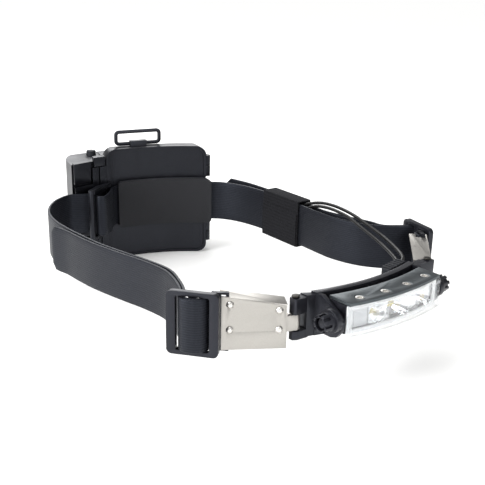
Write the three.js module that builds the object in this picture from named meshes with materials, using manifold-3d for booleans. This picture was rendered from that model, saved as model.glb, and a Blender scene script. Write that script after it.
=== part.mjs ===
// Miner's cap lamp: a curved LED lamp on a headband, with a battery pack at the back of the head.
// Millimetres, +Z up. The lamp faces -Y, the pack is at +Y and z = 0 is the middle of the strap.

import * as THREE from 'three';
import { mergeVertices } from 'three/addons/utils/BufferGeometryUtils.js';
import Module from 'manifold-3d';

const wasm = await Module();
wasm.setup();

// ---------------------------------------------------------------- driving dimensions

const GAP = 0.3;

const STRAP_WIDTH = 25.4;
const STRAP_THICKNESS = 1.4;
const STRAP_HALF = STRAP_WIDTH / 2;

// The lamp, its carrier and every layer between them are bands about one upright axis.
const BROW = { x: 0, y: 30 };
const BAND_INNER = 118.5;
const BAND_OUTER = 121.3;
const LAMP_BACK = 126;
const LAMP_FRONT = 138.6;
const LAMP_HALF = 30.3;
const LAMP_TOP = 12.2;
const LAMP_BOTTOM = -3.3;
const PLATE_THICKNESS = 1.45;
const HOUSING_TOP = LAMP_TOP - PLATE_THICKNESS - GAP;
const HOUSING_WALL = 1.6;
const TILT_AXIS = { y: -98.9, z: 3.3 };
const EAR_INNER = LAMP_HALF + 0.6;
const EAR_OUTER = EAR_INNER + 2.2;
const SCREW_FIRST_X = -21.2;
const SCREW_PITCH = 14.9;

// Each side: the hinge pin on the carrier, and the angles of the steel plate and of the buckle.
const SIDES = {
  left: { sign: -1, pin: { x: -41.4, y: -82.3 }, plateAngle: 32.5, buckleAngle: 51.5 },
  right: { sign: 1, pin: { x: 46.1, y: -84.7 }, plateAngle: 45.6, buckleAngle: 75.6 },
};
const PLATE_LENGTH = 29.5;
const PLATE_SHEET = 0.8;
const PLATE_BOTTOM = -13;
const PLATE_TOP_AT_BUCKLE = 12.9;
const PLATE_TOP_AT_HINGE = 8.3;
const PIN_PAST_PLATE = 4;
const PIN_BEHIND_FACE = 3.2;
const BUCKLE = { length: 24, height: 30.4, thickness: 3, bar: 4.2, rail: 2.1 };

// The pack is a curved shell about an axis 100 mm in front of its own origin.
const PACK_ORIGIN = { x: 1.1, y: 118.8 };
const PACK_TURN = -15;
const PACK_RADIUS = 100;
const PACK = { left: -21, right: 44, half: 36.4, skirt: 108 };
const DOOR = { inner: 108.6, outer: 127, half: 30.5 };
const BAY_LEFT = -45;
const DOOR_HINGE = { x: 46.9, y: -4.6 };
const CELL = { radius: 7.25, length: 50.5, ring: 114, middleAngle: 6.2, pitch: 14.8 };
const RING = { x: 2.8, y: 6.4, width: 31.4, bottom: 36.75, top: 46.8, bar: 2.3 };
const SLOT_BAR = { x: -35.8, y: -21.2, radius: 1.7 };

const LEAD_DIAMETER = 1.9;

// ---------------------------------------------------------------- finishes

const FINISHES = {
  blackPlastic: [0x2b2b2f, 0.55, 0],
  satinBlack: [0x1f2022, 0.4, 0],
  brushedSteel: [0xc8c5c0, 0.35, 1],
  darkSteel: [0x5a5c60, 0.4, 1],
  greyAluminium: [0x707678, 0.45, 1],
  clearPlastic: [0xf2f5f7, 0.08, 0],
  reflector: [0xe8eaec, 0.15, 1],
  rubber: [0x232326, 0.8, 0],
  board: [0x1d5a35, 0.6, 0],
  led: [0xf2e6a0, 0.3, 0],
  cell: [0xb8862e, 0.35, 0],
  brass: [0xc9a24a, 0.35, 1],
  webbing: [0x3a3d42, 0.75, 0],
  loopFabric: [0x1b1b1d, 0.95, 0],
  leadSheath: [0x161617, 0.5, 0],
  badge: [0x9a9da1, 0.4, 0.6],
};

// ---------------------------------------------------------------- solids and booleans

function solid(geometry) {
  const bare = geometry.clone();
  bare.deleteAttribute('normal');
  bare.deleteAttribute('uv');
  const merged = mergeVertices(bare, 1e-4);
  const mesh = new wasm.Mesh({
    numProp: 3,
    vertProperties: new Float32Array(merged.attributes.position.array),
    triVerts: new Uint32Array(merged.index.array),
  });
  return new wasm.Manifold(mesh);
}

function toGeometry(manifold) {
  const mesh = manifold.getMesh();
  const geometry = new THREE.BufferGeometry();
  geometry.setAttribute('position', new THREE.BufferAttribute(mesh.vertProperties, 3));
  geometry.setIndex(new THREE.BufferAttribute(mesh.triVerts, 1));
  geometry.computeVertexNormals();
  return geometry;
}

function join(...geometries) {
  return toGeometry(geometries.map(solid).reduce((whole, piece) => whole.add(piece)));
}

function cut(geometry, ...tools) {
  return toGeometry(tools.map(solid).reduce((whole, tool) => whole.subtract(tool), solid(geometry)));
}

function common(first, second) {
  return toGeometry(solid(first).intersect(solid(second)));
}

// ---------------------------------------------------------------- shapes

const X = new THREE.Vector3(1, 0, 0);
const Y = new THREE.Vector3(0, 1, 0);
const Z = new THREE.Vector3(0, 0, 1);

function outline(points) {
  return new THREE.Shape(points.map(([a, b]) => new THREE.Vector2(a, b)));
}

function box2(a0, a1, b0, b1, radius = 0) {
  if (radius === 0) {
    return outline([[a0, b0], [a1, b0], [a1, b1], [a0, b1]]);
  }
  const shape = new THREE.Shape();
  shape.absarc(a1 - radius, b0 + radius, radius, -Math.PI / 2, 0);
  shape.absarc(a1 - radius, b1 - radius, radius, 0, Math.PI / 2);
  shape.absarc(a0 + radius, b1 - radius, radius, Math.PI / 2, Math.PI);
  shape.absarc(a0 + radius, b0 + radius, radius, Math.PI, 1.5 * Math.PI);
  return shape;
}

// A frame is an origin and two level directions, along the piece and outward from it.
function levelFrame(x, y, along, outward) {
  return { origin: new THREE.Vector3(x, y, 0), along, outward };
}

const WORLD = levelFrame(0, 0, X, Y);

// Extrudes a shape drawn on the axes u and v from a to b along w, whichever hand the axes make.
function prism(shape, frame, u, v, w, a, b) {
  const geometry = new THREE.ExtrudeGeometry(shape, { depth: b - a, bevelEnabled: false, curveSegments: 4 });
  const depthAxis = new THREE.Vector3().crossVectors(u, v);
  const start = depthAxis.dot(w) > 0 ? a : -b;
  geometry.translate(0, 0, start);
  const matrix = new THREE.Matrix4().makeBasis(u, v, depthAxis);
  matrix.setPosition(frame.origin);
  return geometry.applyMatrix4(matrix);
}

// Shape in (along, up), thickness from a to b outward.
function panel(shape, frame, a, b) {
  return prism(shape, frame, frame.along, Z, frame.outward, a, b);
}

// Shape in (along, outward), height from z0 to z1.
function slab(shape, frame, z0, z1) {
  return prism(shape, frame, frame.along, frame.outward, Z, z0, z1);
}

// Shape in (y, z), thickness from x0 to x1.
function rib(shape, x0, x1) {
  return prism(shape, WORLD, Y, Z, X, x0, x1);
}

function block(x0, x1, y0, y1, z0, z1) {
  return slab(box2(x0, x1, y0, y1), WORLD, z0, z1);
}

function rod(from, to, radius, sides = 20, endRadius = radius) {
  const start = new THREE.Vector3(...from);
  const axis = new THREE.Vector3(...to).sub(start);
  const geometry = new THREE.CylinderGeometry(endRadius, radius, axis.length(), sides);
  geometry.translate(0, axis.length() / 2, 0);
  geometry.applyQuaternion(new THREE.Quaternion().setFromUnitVectors(Y, axis.normalize()));
  return geometry.translate(start.x, start.y, start.z);
}

// A ring about an upright axis: the profile is a rectangle in radius and height, corners cut if asked.
function ring(axis, r0, r1, z0, z1, chamfer = 0) {
  const profile = [[r0, z0], [r1 - chamfer, z0], [r1, z0 + chamfer], [r1, z1 - chamfer], [r1 - chamfer, z1], [r0, z1]];
  const points = profile.filter(([r, z], i) => chamfer > 0 || (i !== 2 && i !== 4));
  points.push(points[0]);
  const geometry = new THREE.LatheGeometry(points.map(([r, z]) => new THREE.Vector2(r, z)), 120);
  geometry.rotateX(Math.PI / 2);
  return geometry.translate(axis.x, axis.y, 0);
}

// A curved band in front of the brow axis, with flat ends at x = x0 and x1.
function browBand(r0, r1, x0, x1, z0, z1, steps = 16) {
  const front = [];
  const back = [];
  for (let i = 0; i <= steps; i += 1) {
    const x = x0 + ((x1 - x0) * i) / steps;
    front.push([x, BROW.y - Math.sqrt(r1 * r1 - x * x)]);
    back.push([x, BROW.y - Math.sqrt(r0 * r0 - x * x)]);
  }
  return slab(outline([...front, ...back.reverse()]), WORLD, z0, z1);
}

function browY(radius, x) {
  return BROW.y - Math.sqrt(radius * radius - x * x);
}

// A level strip of even thickness along a smooth line, upright from z0 to z1.
function ribbon(points, thickness, z0, z1, samplesPerPoint = 3) {
  const curve = new THREE.CatmullRomCurve3(points.map(([x, y]) => new THREE.Vector3(x, y, 0)), false, 'centripetal');
  const count = samplesPerPoint * (points.length - 1);
  const left = [];
  const right = [];
  for (let i = 0; i <= count; i += 1) {
    const at = curve.getPoint(i / count);
    const way = curve.getTangent(i / count);
    const side = new THREE.Vector2(-way.y, way.x).normalize().multiplyScalar(thickness / 2);
    left.push([at.x + side.x, at.y + side.y]);
    right.push([at.x - side.x, at.y - side.y]);
  }
  return slab(outline([...left, ...right.reverse()]), WORLD, z0, z1);
}

function cord(points, diameter) {
  const curve = new THREE.CatmullRomCurve3(points.map((p) => new THREE.Vector3(...p)), false, 'centripetal');
  const corners = [0, 1, 2, 3, 4, 5, 6, 7].map((i) => (i * Math.PI) / 4);
  const section = outline(corners.map((a) => [(Math.cos(a) * diameter) / 2, (Math.sin(a) * diameter) / 2]));
  return new THREE.ExtrudeGeometry(section, { extrudePath: curve, steps: 54 });
}

// ---------------------------------------------------------------- the scene graph

const group = new THREE.Group();
const pack = new THREE.Group();
pack.position.set(PACK_ORIGIN.x, PACK_ORIGIN.y, 0);
pack.rotation.z = THREE.MathUtils.degToRad(PACK_TURN);
group.add(pack);

function addPart(name, geometry, finish, parent = group) {
  const [color, roughness, metalness] = FINISHES[finish];
  const mesh = new THREE.Mesh(geometry, new THREE.MeshStandardMaterial({ color, roughness, metalness }));
  mesh.name = name;
  parent.add(mesh);
}

// ---------------------------------------------------------------- lamp head

const SCREWS = [0, 1, 2, 3].map((i) => SCREW_FIRST_X + i * SCREW_PITCH);
const SCREW_RADIUS_ON_BAND = 133.8;
const SHELF_FRONT = 135.9;
const REFLECTOR_LEFT = -17.3;
const INNER_HALF = LAMP_HALF - HOUSING_WALL;

const LED_PLACES = [
  { x: -12.5, pit: 5 },
  { x: 1, pit: 8.4 },
  { x: 18.8, pit: 9 },
];
const LED_Z = 3.5;
const LED_RADIUS = 1.9;

function screwHoles(radius) {
  return SCREWS.map((x) => {
    const y = browY(SCREW_RADIUS_ON_BAND, x);
    return rod([x, y, 7], [x, y, LAMP_TOP + 1], radius, 16);
  });
}

function tiltRod(x0, x1, radius, sides = 20) {
  return rod([x0, TILT_AXIS.y, TILT_AXIS.z], [x1, TILT_AXIS.y, TILT_AXIS.z], radius, sides);
}

const BOLT_RADIUS = 1.7;
const BOLT_HOLE = BOLT_RADIUS + GAP;
const BOLT_INNER = 29;
const BOLT_OUTER = 35.6;

function makeHousing() {
  const shell = browBand(LAMP_BACK, SHELF_FRONT, -LAMP_HALF, LAMP_HALF, LAMP_BOTTOM, HOUSING_TOP);
  const inside = browBand(
    LAMP_BACK + 2, SHELF_FRONT + 5, -INNER_HALF, INNER_HALF, LAMP_BOTTOM + HOUSING_WALL, HOUSING_TOP - HOUSING_WALL);
  const boltHoles = [-1, 1].map((side) => tiltRod(side * (BOLT_INNER - GAP), side * (LAMP_HALF + 1), BOLT_HOLE));
  return cut(shell, inside, ...screwHoles(1.3), ...boltHoles);
}

function makeTopPlate() {
  const plate = browBand(
    LAMP_BACK, LAMP_FRONT, -LAMP_HALF, LAMP_HALF, LAMP_TOP - PLATE_THICKNESS, LAMP_TOP);
  const sinks = SCREWS.map((x) => {
    const y = browY(SCREW_RADIUS_ON_BAND, x);
    return rod([x, y, LAMP_TOP - 1.4], [x, y, LAMP_TOP + 0.6], 1.2, 20, 3.1);
  });
  return cut(plate, ...screwHoles(1.4), ...sinks);
}

function makeScrew(x) {
  const y = browY(SCREW_RADIUS_ON_BAND, x);
  const head = rod([x, y, LAMP_TOP - 1.2], [x, y, LAMP_TOP - 0.1], 1, 20, 2.1);
  const shank = rod([x, y, HOUSING_TOP - 1.3], [x, y, LAMP_TOP - 1.1], 1, 14);
  const socket = rod([x, y, LAMP_TOP - 0.8], [x, y, LAMP_TOP + 1], 1.05, 6);
  return cut(join(head, shank), socket);
}

const LENS_BACK = 137.3;

function makeLens() {
  const wall = browBand(LENS_BACK, LENS_BACK + 1.4, -LAMP_HALF, LAMP_HALF, LAMP_BOTTOM, HOUSING_TOP);
  const topLip = browBand(LENS_BACK + 0.5, LENS_BACK + 2.4, -LAMP_HALF, LAMP_HALF, 8.7, HOUSING_TOP);
  const bottomLip = browBand(LENS_BACK + 0.5, LENS_BACK + 2.6, -LAMP_HALF, LAMP_HALF, LAMP_BOTTOM, -2);
  const secondLip = browBand(LENS_BACK + 0.5, LENS_BACK + 1.9, -LAMP_HALF, LAMP_HALF, -1.4, -0.5);
  const ends = [-1, 1].map((side) => {
    const x = side * LAMP_HALF;
    const near = side * (LAMP_HALF - 1.5);
    return browBand(LENS_BACK + 0.5, LENS_BACK + 2.1, Math.min(x, near), Math.max(x, near), LAMP_BOTTOM, HOUSING_TOP, 2);
  });
  return join(wall, topLip, bottomLip, secondLip, ...ends);
}

function makeLensGasket() {
  const sheet = browBand(SHELF_FRONT + GAP, LENS_BACK - GAP, -30, 30, -3, 10.2);
  const opening = browBand(SHELF_FRONT - 1, LENS_BACK + 1, -27.8, 27.8, -1.1, 8.3);
  return cut(sheet, opening);
}

function makeReflector() {
  const body = browBand(130, 135.5, REFLECTOR_LEFT, INNER_HALF - GAP, -1.3, 8.4);
  const pits = LED_PLACES.map(({ x, pit }) => rod([x, browY(131, x), LED_Z], [x, browY(136, x), LED_Z], 2.4, 32, pit));
  const throats = LED_PLACES.map(({ x }) => rod([x, browY(128, x), LED_Z], [x, browY(132, x), LED_Z], 2.4, 24));
  return cut(body, ...pits, ...throats);
}

function makeLed(x) {
  const base = rod([x, browY(129.75, x), LED_Z], [x, browY(130.8, x), LED_Z], LED_RADIUS, 20);
  const dome = new THREE.SphereGeometry(1.2, 16, 10).translate(x, browY(131, x), LED_Z);
  return join(base, dome);
}

addPart('lamp_housing', makeHousing(), 'satinBlack');
addPart('lamp_top_plate', makeTopPlate(), 'greyAluminium');
addPart('lamp_lens', makeLens(), 'clearPlastic');
addPart('lens_gasket', makeLensGasket(), 'rubber');
addPart('reflector', makeReflector(), 'reflector');
addPart('led_board', browBand(128.3, 129.4, -INNER_HALF + 1, INNER_HALF - 1, -1.3, 8.4), 'board');
LED_PLACES.forEach(({ x }, i) => addPart(`led_${i + 1}`, makeLed(x), 'led'));
addPart('blank_badge_plate', browBand(134.2, 135.2, -INNER_HALF + 0.5, REFLECTOR_LEFT - 0.5, -1.2, 8.3), 'badge');
SCREWS.forEach((x, i) => addPart(`top_plate_screw_${i + 1}`, makeScrew(x), 'brushedSteel'));

// ---------------------------------------------------------------- front carrier and tilt knobs

const BAND_TOP = 12;
const BAND_BOTTOM = -9;
const EAR_OUTLINE = [
  [-85.3, 11.6], [-90.5, 11.9], [-101.2, 5.9], [-103.4, 2.8], [-103, -1.5], [-100.5, -4.8], [-97, -6], [-85.3, -6],
];
const JAW = { inside: 5.5, outside: 2.6, back: 1.7, front: 3.1 };
const HINGE_PIN_RADIUS = 1.05;
const HINGE_HOLE = HINGE_PIN_RADIUS + GAP;

function makeArm({ sign, pin }) {
  const rootX = sign * 29.5;
  const webX = sign * (Math.abs(pin.x) - JAW.inside + 1.2);
  const jawInner = sign * (Math.abs(pin.x) - JAW.inside);
  const jawOuter = sign * (Math.abs(pin.x) + JAW.outside);
  const x0 = Math.min(jawInner, jawOuter);
  const x1 = Math.max(jawInner, jawOuter);
  const front = pin.y - JAW.front;
  const back = pin.y + JAW.back;
  const arm = slab(outline([
    [rootX, browY(BAND_OUTER, rootX) + 0.4],
    [webX, front],
    [webX, back],
    [rootX, browY(BAND_INNER, rootX) - 0.1],
  ]), WORLD, BAND_BOTTOM, BAND_TOP - 1);
  const upperJaw = slab(box2(x0, x1, front, back, 1), WORLD, 3.1, 10.5);
  const lowerJaw = slab(outline([
    [jawInner, front], [jawOuter - sign * 2, front + 0.4], [jawOuter, front + 1.6],
    [jawOuter, back - 1], [jawOuter - sign * 1.4, back], [jawInner, back],
  ]), WORLD, -9.5, -5.4);
  return join(arm, upperJaw, lowerJaw);
}

function makeCarrier() {
  const band = browBand(BAND_INNER, BAND_OUTER, -EAR_OUTER, EAR_OUTER, BAND_BOTTOM, BAND_TOP);
  const rim = browBand(BAND_INNER - 0.3, BAND_OUTER + 0.3, -EAR_OUTER, EAR_OUTER, BAND_TOP - 1, BAND_TOP);
  const ears = [rib(outline(EAR_OUTLINE), -EAR_OUTER, -EAR_INNER), rib(outline(EAR_OUTLINE), EAR_INNER, EAR_OUTER)];
  const arms = [makeArm(SIDES.left), makeArm(SIDES.right)];
  const holes = [
    tiltRod(-EAR_OUTER - 1, -EAR_INNER + 1, BOLT_HOLE),
    tiltRod(EAR_INNER - 1, EAR_OUTER + 1, BOLT_HOLE),
    rod([SIDES.left.pin.x, SIDES.left.pin.y, -12], [SIDES.left.pin.x, SIDES.left.pin.y, 14], HINGE_HOLE),
    rod([SIDES.right.pin.x, SIDES.right.pin.y, -12], [SIDES.right.pin.x, SIDES.right.pin.y, 14], HINGE_HOLE),
  ];
  return cut(join(band, rim, ...ears, ...arms), ...holes);
}

const KNOB = {
  inner: EAR_OUTER + GAP, collar: 36.5, well: 38.4, outer: 42, collarRadius: 5.5, ringRadius: 4.3, notches: 8,
};

function makeKnob(side) {
  const collar = tiltRod(side * KNOB.inner, side * KNOB.collar, KNOB.collarRadius, 28);
  const grip = tiltRod(side * (KNOB.collar - 0.5), side * KNOB.outer, KNOB.ringRadius, 28);
  const well = tiltRod(side * KNOB.well, side * (KNOB.outer + 1), 3, 24);
  const boss = tiltRod(side * 38, side * 41, 2.1, 20);
  const bore = tiltRod(side * (KNOB.inner - 1), side * (BOLT_OUTER + GAP), BOLT_HOLE);
  const notches = [];
  for (let i = 0; i < KNOB.notches; i += 1) {
    const ends = [side * KNOB.well, side * (KNOB.outer + 1)].sort((a, b) => a - b);
    const notch = block(...ends, KNOB.ringRadius - 1, KNOB.ringRadius + 1, -0.7, 0.7);
    notch.rotateX((2 * Math.PI * i) / KNOB.notches);
    notches.push(notch.translate(0, TILT_AXIS.y, TILT_AXIS.z));
  }
  return cut(join(cut(join(collar, grip), well), boss), bore, ...notches);
}

function makeHingePin({ pin }) {
  const shank = rod([pin.x, pin.y, -10.2], [pin.x, pin.y, 11.2], HINGE_PIN_RADIUS, 16);
  const head = rod([pin.x, pin.y, 10.8], [pin.x, pin.y, 11.5], 1.9, 16);
  return join(shank, head);
}

const BOOT = { from: [16, -83.7], to: [31, -80.5], z: 9 };

// The boot is a row of thin ribs on a core, lying along the carrier's inner face.
function makeBoot() {
  const way = new THREE.Vector3(BOOT.to[0] - BOOT.from[0], BOOT.to[1] - BOOT.from[1], 0);
  const length = way.length();
  way.normalize();
  const inward = new THREE.Vector3(-way.y, way.x, 0);
  const frame = levelFrame(BOOT.from[0], BOOT.from[1], way, inward);
  const core = panel(box2(0, length, BOOT.z - 2.7, BOOT.z + 2.7, 0.8), frame, -2, 2);
  const ribs = [];
  for (let s = 1; s < length - 1; s += 2.6) {
    ribs.push(panel(box2(s, s + 1.3, BOOT.z - 3.2, BOOT.z + 3.2), frame, -2.5, 2.6));
  }
  return join(core, ...ribs);
}

addPart('front_carrier', makeCarrier(), 'satinBlack');
Object.entries(SIDES).forEach(([name, side]) => {
  addPart(`tilt_bolt_${name}`, tiltRod(side.sign * BOLT_INNER, side.sign * BOLT_OUTER, BOLT_RADIUS), 'darkSteel');
  addPart(`tilt_knob_${name}`, makeKnob(side.sign), 'satinBlack');
  addPart(`hinge_pin_${name}`, makeHingePin(side), 'darkSteel');
});
addPart('lead_boot', makeBoot(), 'rubber');

// ---------------------------------------------------------------- side plates, liners and buckles

const BUCKLE_END = { s: 24.1, n: -1.7 };
const LINER = { front: -1.1, back: -3.3, start: 2.2, end: 28, cheek: 14.1 };
const LOOP_BAR = { s0: 19.2, s1: 21.6, n0: -4.4, n1: -2.4 };
const RIVETS = [{ t: 3.8, z: 8.8 }, { t: 3.8, z: -3.3 }, { t: 26, z: 5.6 }, { t: 26, z: -3.8 }];
const RIVET_RADIUS = 0.9;

function plateFrame({ sign, pin, plateAngle }) {
  const angle = THREE.MathUtils.degToRad(plateAngle);
  const along = new THREE.Vector3(-sign * Math.cos(angle), -Math.sin(angle), 0);
  const outward = new THREE.Vector3(sign * Math.sin(angle), -Math.cos(angle), 0);
  const reach = PLATE_LENGTH + PIN_PAST_PLATE;
  const x = pin.x - reach * along.x + PIN_BEHIND_FACE * outward.x;
  const y = pin.y - reach * along.y + PIN_BEHIND_FACE * outward.y;
  return levelFrame(x, y, along, outward);
}

function buckleFrame(side) {
  const plate = plateFrame(side);
  const angle = THREE.MathUtils.degToRad(side.buckleAngle);
  const along = new THREE.Vector3(-side.sign * Math.cos(angle), -Math.sin(angle), 0);
  const outward = new THREE.Vector3(side.sign * Math.sin(angle), -Math.cos(angle), 0);
  const x = plate.origin.x - BUCKLE_END.s * along.x - BUCKLE_END.n * outward.x;
  const y = plate.origin.y - BUCKLE_END.s * along.y - BUCKLE_END.n * outward.y;
  return levelFrame(x, y, along, outward);
}

function inWorld(frame, s, n) {
  return [
    frame.origin.x + s * frame.along.x + n * frame.outward.x,
    frame.origin.y + s * frame.along.y + n * frame.outward.y,
  ];
}

function plateTop(t) {
  return PLATE_TOP_AT_BUCKLE + ((PLATE_TOP_AT_HINGE - PLATE_TOP_AT_BUCKLE) * t) / PLATE_LENGTH;
}

function upright(frame, t, m, z0, z1, radius, sides = 16) {
  const [x, y] = inWorld(frame, t, m);
  return rod([x, y, z0], [x, y, z1], radius, sides);
}

function across(frame, t, z, m0, m1, radius, endRadius = radius, sides = 16) {
  const [x0, y0] = inWorld(frame, t, m0);
  const [x1, y1] = inWorld(frame, t, m1);
  return rod([x0, y0, z], [x1, y1, z], radius, sides, endRadius);
}

function makeSidePlate(side) {
  const frame = plateFrame(side);
  const face = panel(outline([
    [0, PLATE_BOTTOM], [PLATE_LENGTH, PLATE_BOTTOM], [PLATE_LENGTH, plateTop(PLATE_LENGTH)], [0, plateTop(0)],
  ]), frame, -PLATE_SHEET, 0);
  const flange = panel(outline([
    [0, plateTop(0) - PLATE_SHEET], [PLATE_LENGTH, plateTop(PLATE_LENGTH) - PLATE_SHEET],
    [PLATE_LENGTH, plateTop(PLATE_LENGTH)], [0, plateTop(0)],
  ]), frame, -9.4, -0.1);
  const endFold = panel(box2(PLATE_LENGTH - PLATE_SHEET, PLATE_LENGTH, PLATE_BOTTOM, plateTop(PLATE_LENGTH) - 0.2),
    frame, -3, -0.1);
  const pinAlong = PLATE_LENGTH + PIN_PAST_PLATE;
  const tongue = slab(outline([
    [PLATE_LENGTH - 0.6, -0.2], [pinAlong + 1, -PIN_BEHIND_FACE + 2], [pinAlong, -PIN_BEHIND_FACE - 2],
    [PLATE_LENGTH - 0.6, -2.9],
  ]), frame, -4.9, 2.6);
  const barrel = upright(frame, pinAlong, -PIN_BEHIND_FACE, -4.9, 2.6, 2.3, 20);
  const notch = panel(box2(-1, LINER.start + 1.6, 10, 14), frame, -6, -PLATE_SHEET);
  const pinHole = upright(frame, pinAlong, -PIN_BEHIND_FACE, -6, 4, HINGE_HOLE);
  const rivetHoles = RIVETS.map(({ t, z }) => across(frame, t, z, -2, 1, RIVET_RADIUS + GAP));
  return cut(join(face, flange, endFold, tongue, barrel), notch, pinHole, ...rivetHoles);
}

function makeLiner(side) {
  const plate = plateFrame(side);
  const buckle = buckleFrame(side);
  const topGap = PLATE_SHEET + GAP;
  const sheet = panel(outline([
    [LINER.start, -12.6], [LINER.end, -12.6], [LINER.end, plateTop(LINER.end) - topGap],
    [LINER.start + 2, plateTop(LINER.start + 2) - topGap], [LINER.start, plateTop(LINER.start) - topGap],
  ]), plate, LINER.back, LINER.front);
  const post = panel(box2(LINER.start, LINER.start + 1.3, -LINER.cheek, LINER.cheek), plate, LINER.back, LINER.front);
  const bar = slab(box2(LOOP_BAR.s0, LOOP_BAR.s1, LOOP_BAR.n0, LOOP_BAR.n1, 0.5), buckle, -LINER.cheek, LINER.cheek);
  const rail = outline([
    inWorld(buckle, LOOP_BAR.s0 + 0.6, LOOP_BAR.n1 - 0.1),
    inWorld(buckle, LOOP_BAR.s0 + 0.6, LOOP_BAR.n0 + 0.1),
    inWorld(plate, LINER.start + 0.2, LINER.back + 0.05),
    inWorld(plate, LINER.start + 1.1, LINER.back + 0.05),
    inWorld(plate, LINER.start + 1.1, LINER.front - 0.05),
    inWorld(plate, LINER.start + 0.2, LINER.front - 0.05),
  ]);
  const rails = [[13.1, 14], [-14, -13.1]].map(([z0, z1]) => slab(rail, WORLD, z0, z1));
  const rivetHoles = RIVETS.map(({ t, z }) => across(plate, t, z, -5, 1, RIVET_RADIUS + GAP));
  return cut(join(sheet, post, bar, ...rails), ...rivetHoles);
}

function makeBuckle(side) {
  const frame = buckleFrame(side);
  const { length, height, thickness, bar, rail } = BUCKLE;
  const low = -height / 2;
  const high = height / 2;
  const body = panel(box2(0, length, low, high, 2.5), frame, 0, thickness);
  const opening = panel(box2(bar, length - bar, low + rail, high - rail, 1), frame, -1, thickness + 1);
  const centreBar = panel(box2(length / 2 - 2, length / 2 + 2, low + rail - 0.5, high - rail + 0.5), frame, 0.2, 2.2);
  return join(cut(body, opening), centreBar);
}

function makeRivet(side, { t, z }) {
  const frame = plateFrame(side);
  const shank = across(frame, t, z, -3.6, 0.4, RIVET_RADIUS);
  const head = across(frame, t, z, 0.25, 0.95, 1.7, 0.9, 18);
  return join(shank, head);
}

Object.entries(SIDES).forEach(([name, side]) => {
  addPart(`side_plate_${name}`, makeSidePlate(side), 'brushedSteel');
  addPart(`plate_liner_${name}`, makeLiner(side), 'blackPlastic');
  addPart(`strap_buckle_${name}`, makeBuckle(side), 'satinBlack');
  RIVETS.forEach((rivet, i) => addPart(`plate_rivet_${name}_${i + 1}`, makeRivet(side, rivet), 'brushedSteel'));
});

// ---------------------------------------------------------------- the strap, its sleeve and the wrap

// The way through one buckle in its own frame: in under the outer bar, over the middle bar,
// round the liner's bar, and back out on top of itself.
const THREAD_IN = [
  [1.2, -15], [5.6, -6.3], [6.9, -1.2], [7.5, 0.9], [8.7, 2.8], [10.3, 3.25], [12, 3.35], [13.7, 3.25],
  [15, 2.6], [16.5, 0.5], [17.6, -1.8], [17.9, -4], [19.1, -5.4],
];
const THREAD_ROUND = [[21.6, -5.45], [22.4, -5], [22.75, -4.2], [22.75, -2.6], [22.4, -1.75], [21.6, -1.35]];
const THREAD_OUT = [
  [20, -1.3], [18.9, -0.7], [17.9, 1.5], [16.2, 3.8], [14, 4.95], [12, 5.05], [10, 4.95], [7.4, 4],
  [5.9, 1.5], [5.3, -0.8], [4, -5.7], [-0.2, -14],
];

const LEFT_MAIN = [
  [-47.8, 118.4], [-57, 114.7], [-66, 106.5], [-74.5, 93], [-79, 77], [-80.2, 60], [-79.7, 42], [-78.8, 28],
  [-75.4, 8], [-71.7, -10.5], [-70.6, -25.5],
];
const LEFT_TAIL = [
  [-72.9, -25.3], [-73.9, -10.4], [-77.7, 8.6], [-81.2, 29], [-82.3, 44], [-82.7, 56], [-85, 68.2],
];
const RIGHT_MAIN = [[57.5, -27], [53.5, -11], [54, 6], [56, 30], [57, 57], [54, 77], [48.4, 89]];
const RIGHT_TAIL = [[58.5, 97.5], [61.8, 78], [62.2, 57], [62, 36], [61, 20], [58.6, 6], [60.5, -10], [65, -28]];

// From the pack's right edge along its curved face, then through the slot at its left edge.
const PACK_STRAP_RADIUS = 98.6;
const PACK_BULGE = [
  [-18.4, -5.4], [-21, -11.6], [-24.6, -18.8], [-28.6, -23.6], [-31.6, -22.6], [-32.6, -18.6], [-35, -15.2], [-39.8, -14.2],
];

function packToWorld([x, y]) {
  const turn = THREE.MathUtils.degToRad(PACK_TURN);
  return [
    PACK_ORIGIN.x + x * Math.cos(turn) - y * Math.sin(turn),
    PACK_ORIGIN.y + x * Math.sin(turn) + y * Math.cos(turn),
  ];
}

function packArc(radius, fromDegrees, toDegrees, count) {
  const points = [];
  for (let i = 0; i <= count; i += 1) {
    const angle = THREE.MathUtils.degToRad(fromDegrees + ((toDegrees - fromDegrees) * i) / count);
    points.push([radius * Math.sin(angle), radius * Math.cos(angle) - PACK_RADIUS]);
  }
  return points;
}

function strapLine() {
  const left = buckleFrame(SIDES.left);
  const right = buckleFrame(SIDES.right);
  const thread = [...THREAD_IN, ...THREAD_ROUND, ...THREAD_OUT];
  return [
    ...RIGHT_TAIL,
    ...thread.map(([s, n]) => inWorld(right, s, n)).reverse(),
    ...RIGHT_MAIN,
    ...packArc(PACK_STRAP_RADIUS, 26.5, -8.5, 8).map(packToWorld),
    ...PACK_BULGE.map(packToWorld),
    ...LEFT_MAIN,
    ...thread.map(([s, n]) => inWorld(left, s, n)),
    ...LEFT_TAIL,
  ];
}

addPart('head_strap', ribbon(strapLine(), STRAP_THICKNESS, -STRAP_HALF, STRAP_HALF), 'webbing');

const PACK_AXIS = { x: 0, y: -PACK_RADIUS };
const SLEEVE_HALF = 15.2;

// The sleeve is a channel that holds the strap against the pack's curved face.
function makeSleeve() {
  const length = box2(-14, 46, -SLEEVE_HALF, SLEEVE_HALF, 3);
  const reach = panel(length, WORLD, -40, 20);
  const face = ring(PACK_AXIS, 95.9, 99.6, -SLEEVE_HALF, SLEEVE_HALF);
  const channel = ring(PACK_AXIS, 97.4, 101, -STRAP_HALF - 0.5, STRAP_HALF + 0.5);
  return cut(common(face, reach), channel);
}

addPart('strap_sleeve', makeSleeve(), 'webbing', pack);

const WRAP = { from: [59.75, 54], to: [58.3, 20], halfInside: 4.2, halfHeight: 13.6, cloth: 0.9 };

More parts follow.
